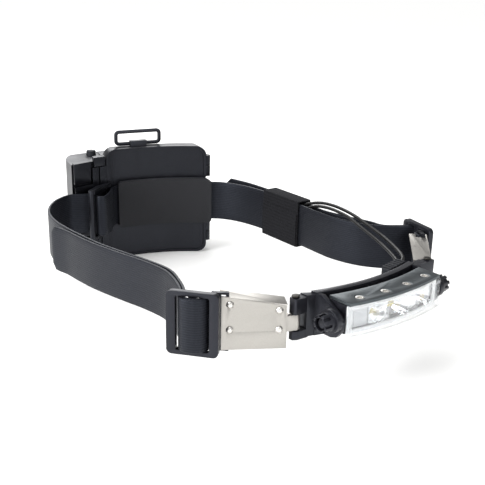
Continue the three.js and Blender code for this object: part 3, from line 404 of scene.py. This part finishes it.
# Each rib's picks are set half a step from its neighbour's, so the cross lines zigzag.
shift = add(tree, "ShaderNodeMath", {"operation": "MULTIPLY_ADD"}, {1: 1.1},
            {0: rib_wave.outputs[0], 2: split.outputs["X"]})
pick_turn = add(tree, "ShaderNodeMath", {"operation": "MULTIPLY"}, {1: 2 * math.pi / PICK_PITCH},
                {0: shift.outputs[0]})
pick_wave = add(tree, "ShaderNodeMath", {"operation": "SINE"}, links={0: pick_turn.outputs[0]})
weave_height = add(tree, "ShaderNodeMath", {"operation": "MULTIPLY_ADD"}, {1: 0.35},
                   {0: pick_wave.outputs[0], 2: rib_wave.outputs[0]})
fuzz = add(tree, "ShaderNodeTexNoise", sockets={"Scale": 1 / 2.2, "Detail": 5.0},
           links={"Vector": weave_uv.outputs["UV"]})
thread_height = add(tree, "ShaderNodeMath", {"operation": "MULTIPLY_ADD"}, {1: 0.8},
                    {0: fuzz.outputs["Fac"], 2: weave_height.outputs[0]})
relief = add(tree, "ShaderNodeBump", sockets={"Strength": 0.4, "Distance": 0.1 * MM},
             links={"Height": thread_height.outputs[0]})
tree.links.new(relief.outputs["Normal"], shader.inputs["Normal"])
# Painted shade: the weave's low parts are coloured darker and its raised threads lighter, from the
# height that drives the bump.
weave_shade_level = add(tree, "ShaderNodeMapRange", sockets={"From Min": -1.0, "From Max": 2.0},
                   links={"Value": thread_height.outputs[0]})
weave_painted_shade = add(tree, "ShaderNodeMix", {"data_type": "RGBA"},
                    {6: linear("08080a"), 7: linear("1b1c21")},
                    {0: weave_shade_level.outputs["Result"]})
tree.links.new(weave_painted_shade.outputs[2], shader.inputs["Base Color"])
strap_mesh.materials.append(webbing)
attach(strap, "headband")
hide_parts("head_strap")

# ---------------------------------------------------------------- strap buckles
# Three-bar slides, one at each end of the strap, injection moulded in glass-filled nylon with
# a broad middle bar. The strap's own tension holds them.


def softened(node, width, body, finish, segments=2, sharp=35):
    """A copy of a CAD node with its flat facets joined and its edges rounded, in its own finish."""
    shape = bmesh.new()
    shape.from_mesh(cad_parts[node].data)
    bmesh.ops.remove_doubles(shape, verts=shape.verts, dist=0.002 * MM)
    bmesh.ops.dissolve_degenerate(shape, edges=shape.edges, dist=0.002 * MM)
    bmesh.ops.dissolve_limit(shape, angle_limit=math.radians(0.6), verts=shape.verts,
                             edges=shape.edges)
    made = bpy.data.meshes.new(f"{node}_finished")
    shape.to_mesh(made)
    shape.free()
    for face in made.polygons:
        face.use_smooth = True
    made.materials.clear()
    made.materials.append(finish)
    piece = bpy.data.objects.new(f"{node}_finished", made)
    bpy.context.scene.collection.objects.link(piece)
    if width:
        edge = round_edges(piece, width, segments, sharp)
        edge.harden_normals = True
        edge.miter_outer = "MITER_ARC"
    else:
        made.set_sharp_from_angle(angle=math.radians(sharp))
    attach(piece, body)
    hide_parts(node)
    return piece


def moulded(name, colour, light_colour, roughness, grain, depth, strength=0.5):
    """A moulded plastic: the mould's grain in mm as fine bumps, and slow changes of gloss."""
    made, tree, shader = start_material(name, colour, roughness, IOR=1.5,
                                        Specular_Tint=linear("cdd2e0"))
    coords = add(tree, "ShaderNodeTexCoord")
    spark_grain = add(tree, "ShaderNodeTexNoise",
                      sockets={"Scale": 1 / (grain * MM), "Detail": 2.0, "Roughness": 0.6},
                      links={"Vector": coords.outputs["Object"]})
    relief = add(tree, "ShaderNodeBump", sockets={"Strength": strength, "Distance": depth * MM},
                 links={"Height": spark_grain.outputs["Fac"]})
    tree.links.new(relief.outputs["Normal"], shader.inputs["Normal"])
    flow = add(tree, "ShaderNodeTexNoise",
               sockets={"Scale": 1 / (14 * MM), "Detail": 4.0, "Roughness": 0.55},
               links={"Vector": coords.outputs["Object"]})
    gloss = add(tree, "ShaderNodeMapRange",
                sockets={"From Min": 0.3, "From Max": 0.7, "To Min": roughness - 0.05,
                         "To Max": roughness + 0.07},
                links={"Value": flow.outputs["Fac"]})
    tree.links.new(gloss.outputs["Result"], shader.inputs["Roughness"])
    both = add(tree, "ShaderNodeMath", {"operation": "MULTIPLY"},
               links={0: flow.outputs["Fac"], 1: spark_grain.outputs["Fac"]})
    tint = add(tree, "ShaderNodeMapRange", sockets={"From Min": 0.12, "From Max": 0.42},
               links={"Value": both.outputs[0]})
    colour_mix = add(tree, "ShaderNodeMix", {"data_type": "RGBA"},
                     {6: linear(colour), 7: linear(light_colour)}, {0: tint.outputs["Result"]})
    tree.links.new(colour_mix.outputs[2], shader.inputs["Base Color"])
    return made


# Injection-moulded nylon, satin black: an even, slightly greasy gloss with a very fine grain.
satin_nylon = moulded("moulded_satin_nylon", "101013", "1b1b20", 0.34, 0.5, 0.02, 0.3)
for side_name in SIDES:
    softened(f"strap_buckle_{side_name}", 0.5, "headband", satin_nylon, 3)

# ---------------------------------------------------------------- side plates and their liners
# Stamped stainless sheet with a folded top, brushed along its length before bending. Behind
# each lies a black moulded liner whose bar the strap folds round, held by four steel rivets.


def brushed(name, colour, dark_colour, roughness, turn, line=0.25, stretch=40):
    """A brushed metal: fine scratches drawn out along one level direction, turned about Z."""
    made, tree, shader = start_material(name, colour, roughness, Metallic=1.0)
    coords = add(tree, "ShaderNodeTexCoord")
    lay = add(tree, "ShaderNodeMapping",
              sockets={"Rotation": (0, 0, -turn), "Scale": (1 / stretch, 1, 1)},
              links={"Vector": coords.outputs["Object"]})
    scratches = add(tree, "ShaderNodeTexNoise",
                    sockets={"Scale": 1 / (line * MM), "Detail": 3.0, "Roughness": 0.7},
                    links={"Vector": lay.outputs["Vector"]})
    relief = add(tree, "ShaderNodeBump", sockets={"Strength": 0.28, "Distance": 0.02 * MM},
                 links={"Height": scratches.outputs["Fac"]})
    tree.links.new(relief.outputs["Normal"], shader.inputs["Normal"])
    handling = add(tree, "ShaderNodeTexNoise", sockets={"Scale": 1 / (9 * MM), "Detail": 4.0},
                   links={"Vector": coords.outputs["Object"]})
    mixed = add(tree, "ShaderNodeMath", {"operation": "MULTIPLY_ADD"}, {1: 0.5},
                {0: handling.outputs["Fac"], 2: scratches.outputs["Fac"]})
    gloss = add(tree, "ShaderNodeMapRange",
                sockets={"From Min": 0.45, "From Max": 1.05, "To Min": roughness - 0.1,
                         "To Max": roughness + 0.12},
                links={"Value": mixed.outputs[0]})
    tree.links.new(gloss.outputs["Result"], shader.inputs["Roughness"])
    tone = add(tree, "ShaderNodeMix", {"data_type": "RGBA"},
               {6: linear(dark_colour), 7: linear(colour)}, {0: scratches.outputs["Fac"]})
    tree.links.new(tone.outputs[2], shader.inputs["Base Color"])
    return made


# Injection-moulded ABS from a spark-eroded mould: deep black-grey with a fine even grain that
# breaks up the highlights. The real grain is 0.2 mm; it is drawn at 0.55 mm so that it shows.
grained_abs = moulded("moulded_grained_abs", "08080b", "131317", 0.37, 0.55, 0.05, 0.5)
# Turned steel rivets, bright from the tumbling barrel.
rivet_steel = brushed("tumbled_steel", "e4e2de", "c4c1bc", 0.34, 0, 0.4, 1)
for side_name, side in SIDES.items():
    plate_way = directions(side, side["plate"])[0]
    # Brushed stainless steel: light warm grey, its reflections smeared across the brush lines.
    plate_steel = brushed(f"brushed_stainless_{side_name}", "bebbb6", "9a9792", 0.36,
                          math.atan2(plate_way.y, plate_way.x))
    softened(f"side_plate_{side_name}", 0.22, "headband", plate_steel)
    softened(f"plate_liner_{side_name}", 0.3, "headband", grained_abs)
    for count in range(1, 5):
        softened(f"plate_rivet_{side_name}_{count}", 0.2, "headband", rivet_steel, 3)

# ---------------------------------------------------------------- front carrier and hinge pins
# The carrier is a curved nylon band with an ear at each end for the lamp's tilt bolts. Steel
# pins, blackened and headed over, hinge it to the two side plates.

softened("front_carrier", 0.4, "headband", satin_nylon, 3)
# Blackened steel: dark brown-black, half glossy, with bright spots where the oxide is thin.
oxide_steel, tree, shader = start_material("blackened_steel", "2b2a2a", 0.38, Metallic=1.0)
coords = add(tree, "ShaderNodeTexCoord")
bloom = add(tree, "ShaderNodeTexNoise", sockets={"Scale": 1 / (1.2 * MM), "Detail": 4.0},
            links={"Vector": coords.outputs["Object"]})
oxide = add(tree, "ShaderNodeMix", {"data_type": "RGBA"},
            {6: linear("232222"), 7: linear("57544f")}, {0: bloom.outputs["Fac"]})
tree.links.new(oxide.outputs[2], shader.inputs["Base Color"])
gloss = add(tree, "ShaderNodeMapRange", sockets={"To Min": 0.28, "To Max": 0.5},
            links={"Value": bloom.outputs["Fac"]})
tree.links.new(gloss.outputs["Result"], shader.inputs["Roughness"])
for side_name in SIDES:
    softened(f"hinge_pin_{side_name}", 0.3, "headband", oxide_steel, 3)
    softened(f"tilt_bolt_{side_name}", 0.25, "lamp_head", oxide_steel)

# ---------------------------------------------------------------- tilt knobs
# Round nylon knobs with notched rims and a hollow face, pressed on the tilt bolts' ends and
# turned by finger to lock the lamp's angle.

for side_name in SIDES:
    softened(f"tilt_knob_{side_name}", 0.32, f"knob_{side_name}", satin_nylon, 3)

# ---------------------------------------------------------------- lamp housing
# A shallow curved tray moulded in black nylon. It holds the light board and the reflector,
# and the top plate screws down on it.

softened("lamp_housing", 0.3, "lamp_head", satin_nylon)

# ---------------------------------------------------------------- light board and LEDs
# A narrow aluminium-backed circuit board carries three LEDs behind the reflector. Each LED is
# a ceramic base with a clear silicone dome over yellow phosphor.

# Printed circuit board: white solder resist with a slight gloss, as lamp makers use it.
solder_resist = moulded("white_solder_resist", "d9dad6", "e8e8e4", 0.35, 0.6, 0.01, 0.15)
softened("led_board", 0.1, "lamp_head", solder_resist)
# Silicone over phosphor: a strong pale yellow that looks wet, with the chip's square faint inside.
phosphor, tree, shader = start_material("silicone_over_phosphor", "e8cf5a", 0.16, IOR=1.41,
                                        Coat_Weight=0.6, Coat_Roughness=0.05,
                                        Subsurface_Weight=0.15)
coords = add(tree, "ShaderNodeTexCoord")
grains = add(tree, "ShaderNodeTexNoise", sockets={"Scale": 1 / (0.4 * MM), "Detail": 3.0},
             links={"Vector": coords.outputs["Object"]})
phosphor_colour = add(tree, "ShaderNodeMix", {"data_type": "RGBA"},
                      {6: linear("d9b93a"), 7: linear("f3e48a")}, {0: grains.outputs["Fac"]})
tree.links.new(phosphor_colour.outputs[2], shader.inputs["Base Color"])
for count in range(1, 4):
    softened(f"led_{count}", 0.08, "lamp_head", phosphor)

# ---------------------------------------------------------------- reflector and blank badge
# One moulding with three conical pits, its face vacuum metallised. Beside it a plain silver
# plate fills the lamp's end window.

# Vacuum-metallised plastic: a bright cool mirror with the mould's slight waviness.
mirror_coat, tree, shader = start_material("vacuum_metallised_mirror", "f2f4f6", 0.16,
                                           Metallic=1.0)
coords = add(tree, "ShaderNodeTexCoord")
waviness = add(tree, "ShaderNodeTexNoise", sockets={"Scale": 1 / (2.2 * MM), "Detail": 1.5},
               links={"Vector": coords.outputs["Object"]})
relief = add(tree, "ShaderNodeBump", sockets={"Strength": 0.3, "Distance": 0.12 * MM},
             links={"Height": waviness.outputs["Fac"]})
tree.links.new(relief.outputs["Normal"], shader.inputs["Normal"])
gloss = add(tree, "ShaderNodeMapRange", sockets={"To Min": 0.1, "To Max": 0.24},
            links={"Value": waviness.outputs["Fac"]})
tree.links.new(gloss.outputs["Result"], shader.inputs["Roughness"])
softened("reflector", 0.12, "lamp_head", mirror_coat)
# Silk-painted acrylic, left blank: a pale silver grey with a hint of orange peel.
blank_print = moulded("silver_painted_acrylic", "c4c7ca", "dadcde", 0.32, 0.8, 0.02, 0.2)
softened("blank_badge_plate", 0.15, "lamp_head", blank_print)

# ---------------------------------------------------------------- lens and gasket
# A clear polycarbonate bar, curved with the housing and with rolled lips at its edges. It
# presses on a thin silicone gasket.

# Moulded polycarbonate: clear, high in gloss, with faint ripples from the moulding.
clear_polycarbonate, tree, shader = start_material(
    "moulded_clear_polycarbonate", "fbfdff", 0.03, IOR=1.58, Transmission_Weight=1.0, Alpha=0.3)
coords = add(tree, "ShaderNodeTexCoord")
ripples = add(tree, "ShaderNodeTexNoise", sockets={"Scale": 1 / (6 * MM), "Detail": 1.0},
              links={"Vector": coords.outputs["Object"]})
relief = add(tree, "ShaderNodeBump", sockets={"Strength": 0.12, "Distance": 0.1 * MM},
             links={"Height": ripples.outputs["Fac"]})
tree.links.new(relief.outputs["Normal"], shader.inputs["Normal"])
softened("lamp_lens", 0.25, "lamp_head", clear_polycarbonate, 3)
# Translucent silicone: milky white, soft in gloss.
milky_silicone = moulded("moulded_milky_silicone", "d5d8da", "e6e8e9", 0.45, 0.8, 0.02, 0.2)
softened("lens_gasket", 0.1, "lamp_head", milky_silicone)

# ---------------------------------------------------------------- top plate and its screws
# A flat aluminium plate cut to the housing's curve and anodised grey. Four countersunk steel
# screws with six-sided sockets hold it down.

# Bead-blasted, anodised aluminium: a soft blue-grey metal without direction, lighter at a glance.
anodised, tree, shader = start_material("blasted_anodised_aluminium", "50565a", 0.4,
                                        Metallic=0.85)
coords = add(tree, "ShaderNodeTexCoord")
beads = add(tree, "ShaderNodeTexNoise", sockets={"Scale": 1 / (0.45 * MM), "Detail": 2.0},
            links={"Vector": coords.outputs["Object"]})
relief = add(tree, "ShaderNodeBump", sockets={"Strength": 0.35, "Distance": 0.03 * MM},
             links={"Height": beads.outputs["Fac"]})
tree.links.new(relief.outputs["Normal"], shader.inputs["Normal"])
dye = add(tree, "ShaderNodeTexNoise", sockets={"Scale": 1 / (11 * MM), "Detail": 4.0},
          links={"Vector": coords.outputs["Object"]})
dye_colour = add(tree, "ShaderNodeMix", {"data_type": "RGBA"},
                 {6: linear("474c4f"), 7: linear("5a6063")}, {0: dye.outputs["Fac"]})
tree.links.new(dye_colour.outputs[2], shader.inputs["Base Color"])
softened("lamp_top_plate", 0.22, "lamp_head", anodised)
for count in range(1, 5):
    softened(f"top_plate_screw_{count}", 0.12, "lamp_head", rivet_steel)

# ---------------------------------------------------------------- lead boot
# A ribbed rubber boot moulded round both leads where they go into the carrier, so that they
# bend without breaking.

# Silicone rubber: dull black, slightly dusty.
silicone_rubber = moulded("moulded_silicone_rubber", "0d0d0e", "19191b", 0.62, 0.7, 0.04, 0.5)
softened("lead_boot", 0.4, "headband", silicone_rubber, 3)

# ---------------------------------------------------------------- sleeve on the pack
# A flat channel of webbing, sewn along its edges, keeps the strap against the pack's curved
# face and hides the screws behind it.

# Woven polyester tape: dull black, its threads crossing plainly, with painted shade in the
# hollows between crossings. Real threads are 0.4 mm wide and are drawn at 0.9 mm so that they show.
woven_tape, tree, shader = start_material(
    "woven_polyester_tape", "161619", 0.7, IOR=1.5, Specular_IOR_Level=0.3, Sheen_Weight=0.08,
    Sheen_Roughness=0.4, Sheen_Tint=linear("9a9ea6"))
THREAD_PITCH = 0.9
coords = add(tree, "ShaderNodeTexCoord")
split = add(tree, "ShaderNodeSeparateXYZ", links={"Vector": coords.outputs["Object"]})
thread_waves = []
for axis in ("X", "Z"):
    turn = add(tree, "ShaderNodeMath", {"operation": "MULTIPLY"},
               {1: 2 * math.pi / (THREAD_PITCH * MM)}, {0: split.outputs[axis]})
    thread_waves.append(add(tree, "ShaderNodeMath", {"operation": "SINE"},
                            links={0: turn.outputs[0]}))
crossing = add(tree, "ShaderNodeMath", {"operation": "MULTIPLY"},
               links={0: thread_waves[0].outputs[0], 1: thread_waves[1].outputs[0]})
relief = add(tree, "ShaderNodeBump", sockets={"Strength": 0.45, "Distance": 0.12 * MM},
             links={"Height": crossing.outputs[0]})
tree.links.new(relief.outputs["Normal"], shader.inputs["Normal"])
# Painted shade: the tape is coloured darker where the crossing threads are low and lighter where
# they are high.
tape_shade_level = add(tree, "ShaderNodeMapRange", sockets={"From Min": -1.0, "From Max": 1.0},
                 links={"Value": crossing.outputs[0]})
tape_painted_shade = add(tree, "ShaderNodeMix", {"data_type": "RGBA"},
                  {6: linear("0e0e10"), 7: linear("222328")}, {0: tape_shade_level.outputs["Result"]})
tree.links.new(tape_painted_shade.outputs[2], shader.inputs["Base Color"])
softened("strap_sleeve", 0.5, "headband", woven_tape, 3)

# ---------------------------------------------------------------- hook-and-loop wrap
# A short band of hook-and-loop tape, wrapped once round the strap, its loose end and both
# leads, and pressed shut on itself.

# Knitted loop tape: a deep matt black pile of tiny loops in rows 2 mm apart, with a grey bloom
# and painted shade in the pile's hollows.
loop_pile, tree, shader = start_material(
    "knitted_loop_pile", "0e0e10", 0.9, IOR=1.45, Specular_IOR_Level=0.15, Sheen_Weight=0.06,
    Sheen_Roughness=0.5, Sheen_Tint=linear("8d9096"))
coords = add(tree, "ShaderNodeTexCoord")
loops = add(tree, "ShaderNodeTexVoronoi", sockets={"Scale": 1 / (0.8 * MM)},
            links={"Vector": coords.outputs["Object"]})
tufts = add(tree, "ShaderNodeTexNoise", sockets={"Scale": 1 / (1.5 * MM), "Detail": 5.0},
            links={"Vector": coords.outputs["Object"]})
ROW_PITCH = 2
split = add(tree, "ShaderNodeSeparateXYZ", links={"Vector": coords.outputs["Object"]})
row_turn = add(tree, "ShaderNodeMath", {"operation": "MULTIPLY"},
               {1: 2 * math.pi / (ROW_PITCH * MM)}, {0: split.outputs["Z"]})
row_wave = add(tree, "ShaderNodeMath", {"operation": "SINE"}, links={0: row_turn.outputs[0]})
rows = add(tree, "ShaderNodeMath", {"operation": "MULTIPLY_ADD"}, {1: 0.4},
           {0: row_wave.outputs[0], 2: tufts.outputs["Fac"]})
pile = add(tree, "ShaderNodeMath", {"operation": "ADD"},
           links={0: loops.outputs["Distance"], 1: rows.outputs[0]})
relief = add(tree, "ShaderNodeBump", sockets={"Strength": 0.7, "Distance": 0.25 * MM},
             links={"Height": pile.outputs[0]})
tree.links.new(relief.outputs["Normal"], shader.inputs["Normal"])
# Painted shade: the pile is coloured darker where its loops and rows are low, from the height that
# drives the bump.
pile_painted_shade = add(tree, "ShaderNodeMix", {"data_type": "RGBA"},
                  {6: linear("060607"), 7: linear("18181b")}, {0: pile.outputs[0]})
tree.links.new(pile_painted_shade.outputs[2], shader.inputs["Base Color"])
softened("cable_wrap", 0.6, "headband", loop_pile, 3)
# The tape's loose end lies over its own first turn, on the face towards the head.
WRAP_START = Vector((59.75, 54, 0))
WRAP_END = Vector((58.3, 20, 0))
WRAP_FACE = 5.1
FLAP_TOP = 6.5
FLAP_BOTTOM = -14.2
FLAP_THICKNESS = 0.7
FLAP_SUNK = 0.3
FLAP_SWELL = 0.25
wrap_way = (WRAP_END - WRAP_START).normalized()
flap_mesh = bmesh.new()
bmesh.ops.create_cube(flap_mesh, size=1)
bmesh.ops.scale(flap_mesh, verts=flap_mesh.verts,
                vec=((WRAP_END - WRAP_START).length - 1, FLAP_THICKNESS + 2 * FLAP_SUNK,
                     FLAP_TOP - FLAP_BOTTOM))
bmesh.ops.subdivide_edges(
    flap_mesh, cuts=5, use_grid_fill=True,
    edges=[edge for edge in flap_mesh.edges if abs(edge.verts[0].co.z - edge.verts[1].co.z) > 1])
bmesh.ops.translate(
    flap_mesh, verts=flap_mesh.verts,
    vec=(0, -WRAP_FACE - FLAP_THICKNESS / 2 + FLAP_SUNK, (FLAP_TOP + FLAP_BOTTOM) / 2))
for vert in flap_mesh.verts:
    # The pressed tape swells a little between its rows of hooks.
    if vert.co.y < -WRAP_FACE:
        rise = (vert.co.z - FLAP_BOTTOM) / (FLAP_TOP - FLAP_BOTTOM)
        vert.co.y -= FLAP_SWELL * math.sin(math.pi * rise)
wrap_outward = Vector((-wrap_way.y, wrap_way.x, 0))
flap_place = Matrix((wrap_way, wrap_outward, Vector((0, 0, 1)))).transposed()
bmesh.ops.transform(flap_mesh, verts=flap_mesh.verts, matrix=(
    Matrix.Scale(MM, 4) @ Matrix.Translation((WRAP_START + WRAP_END) / 2) @ flap_place.to_4x4()))
flap = bpy.data.objects.new("wrap_loose_end", bpy.data.meshes.new("wrap_loose_end"))
flap_mesh.to_mesh(flap.data)
flap_mesh.free()
for face in flap.data.polygons:
    face.use_smooth = True
bpy.context.scene.collection.objects.link(flap)
round_edges(flap, 0.3, 3, 50).harden_normals = True
flap.data.materials.append(loop_pile)
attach(flap, "headband")

# ---------------------------------------------------------------- pack panel
# The pack's curved face, moulded in grained ABS with a raised rim. It carries the strap's slot
# bar, the top ring's lug and the door's hinge tabs.

softened("pack_panel", 0.4, "headband", grained_abs, 3)
softened("lead_gland", 0.35, "headband", silicone_rubber, 3)

# ---------------------------------------------------------------- top ring
# A flat rectangular loop of moulded nylon, sprung into the lug's bore. The overhead strap is
# buckled to it.

softened("top_strap_ring", 0, "ring", satin_nylon)

# ---------------------------------------------------------------- electronics bay
# The driver board's box, moulded in one with its ribs and the latch's knuckles, closes the
# pack's left end. The power button is a rubber cap in its top.

softened("electronics_bay", 0.4, "headband", grained_abs, 3)
# Printed circuit board: green solder resist over copper, glossy, with the tracks as low ridges.
green_resist, tree, shader = start_material("green_solder_resist", "1d5a35", 0.3, IOR=1.5)
coords = add(tree, "ShaderNodeTexCoord")
tracks = add(tree, "ShaderNodeTexBrick", {"offset": 0.35, "squash": 1.4},
             {"Scale": 1 / (9 * MM), "Mortar Size": 0.03, "Color1": linear("1b5632"),
              "Color2": linear("236a3e"), "Mortar": linear("3f8f58")},
             {"Vector": coords.outputs["Object"]})
tree.links.new(tracks.outputs["Color"], shader.inputs["Base Color"])
relief = add(tree, "ShaderNodeBump", sockets={"Strength": 0.3, "Distance": 0.05 * MM},
             links={"Height": tracks.outputs["Fac"]})
tree.links.new(relief.outputs["Normal"], shader.inputs["Normal"])
softened("driver_board", 0.1, "headband", green_resist)
softened("power_button", 0.5, "button", silicone_rubber, 3)

# ---------------------------------------------------------------- cells, tray and contacts
# Four round cells lie side by side in a moulded tray between two stamped contact strips. The
# cells lift out when the door is open.

softened("battery_tray", 0.3, "headband", grained_abs)
# Nickel-plated brass: warm pale yellow metal, rolled smooth and a little stained.
plated_brass = brushed("rolled_plated_brass", "d8c690", "b39c5e", 0.3, 0, 0.3, 25)
for end in ("top", "bottom"):
    softened(f"contact_strip_{end}", 0.1, "headband", plated_brass)
# Printed shrink film over a steel can: plain blue-grey sleeve, glossy, with bare steel at the
# two ends of each cell.
FILM_HALF = 23.4
shrink_film, tree, shader = start_material("shrink_film_on_steel", "37506b", 0.22, IOR=1.55)
coords = add(tree, "ShaderNodeTexCoord")
split = add(tree, "ShaderNodeSeparateXYZ", links={"Vector": coords.outputs["Object"]})
height = add(tree, "ShaderNodeMath", {"operation": "ABSOLUTE"}, links={0: split.outputs["Z"]})
bare_end = add(tree, "ShaderNodeMath", {"operation": "GREATER_THAN"}, {1: FILM_HALF * MM},
               {0: height.outputs[0]})
scuffs = add(tree, "ShaderNodeTexNoise", sockets={"Scale": 1 / (4 * MM), "Detail": 5.0},
             links={"Vector": coords.outputs["Object"]})
film = add(tree, "ShaderNodeMix", {"data_type": "RGBA"},
           {6: linear("324a64"), 7: linear("3f5b79")}, {0: scuffs.outputs["Fac"]})
skin = add(tree, "ShaderNodeMix", {"data_type": "RGBA"}, {7: linear("cfcdc8")},
           {0: bare_end.outputs[0], 6: film.outputs[2]})
tree.links.new(skin.outputs[2], shader.inputs["Base Color"])
tree.links.new(bare_end.outputs[0], shader.inputs["Metallic"])
gloss = add(tree, "ShaderNodeMapRange", sockets={"To Min": 0.16, "To Max": 0.36},
            links={"Value": scuffs.outputs["Fac"]})
tree.links.new(gloss.outputs["Result"], shader.inputs["Roughness"])
for count in range(1, 5):
    softened(f"battery_cell_{count}", 0.5, "headband", shrink_film, 3)
softened("door_gasket", 0.15, "headband", silicone_rubber)

# ---------------------------------------------------------------- battery door, its pins and latch
# The door is a deep curved cover with three grip ridges. Two steel pins hinge it to the panel,
# and a short nylon latch on the bay snaps over its free edge.

softened("battery_door", 0.4, "door", grained_abs, 3)
for place in ("upper", "lower"):
    softened(f"door_pin_{place}", 0.2, "headband", oxide_steel)
softened("door_latch", 0.35, "latch", satin_nylon, 3)
softened("latch_pin", 0.2, "headband", oxide_steel)
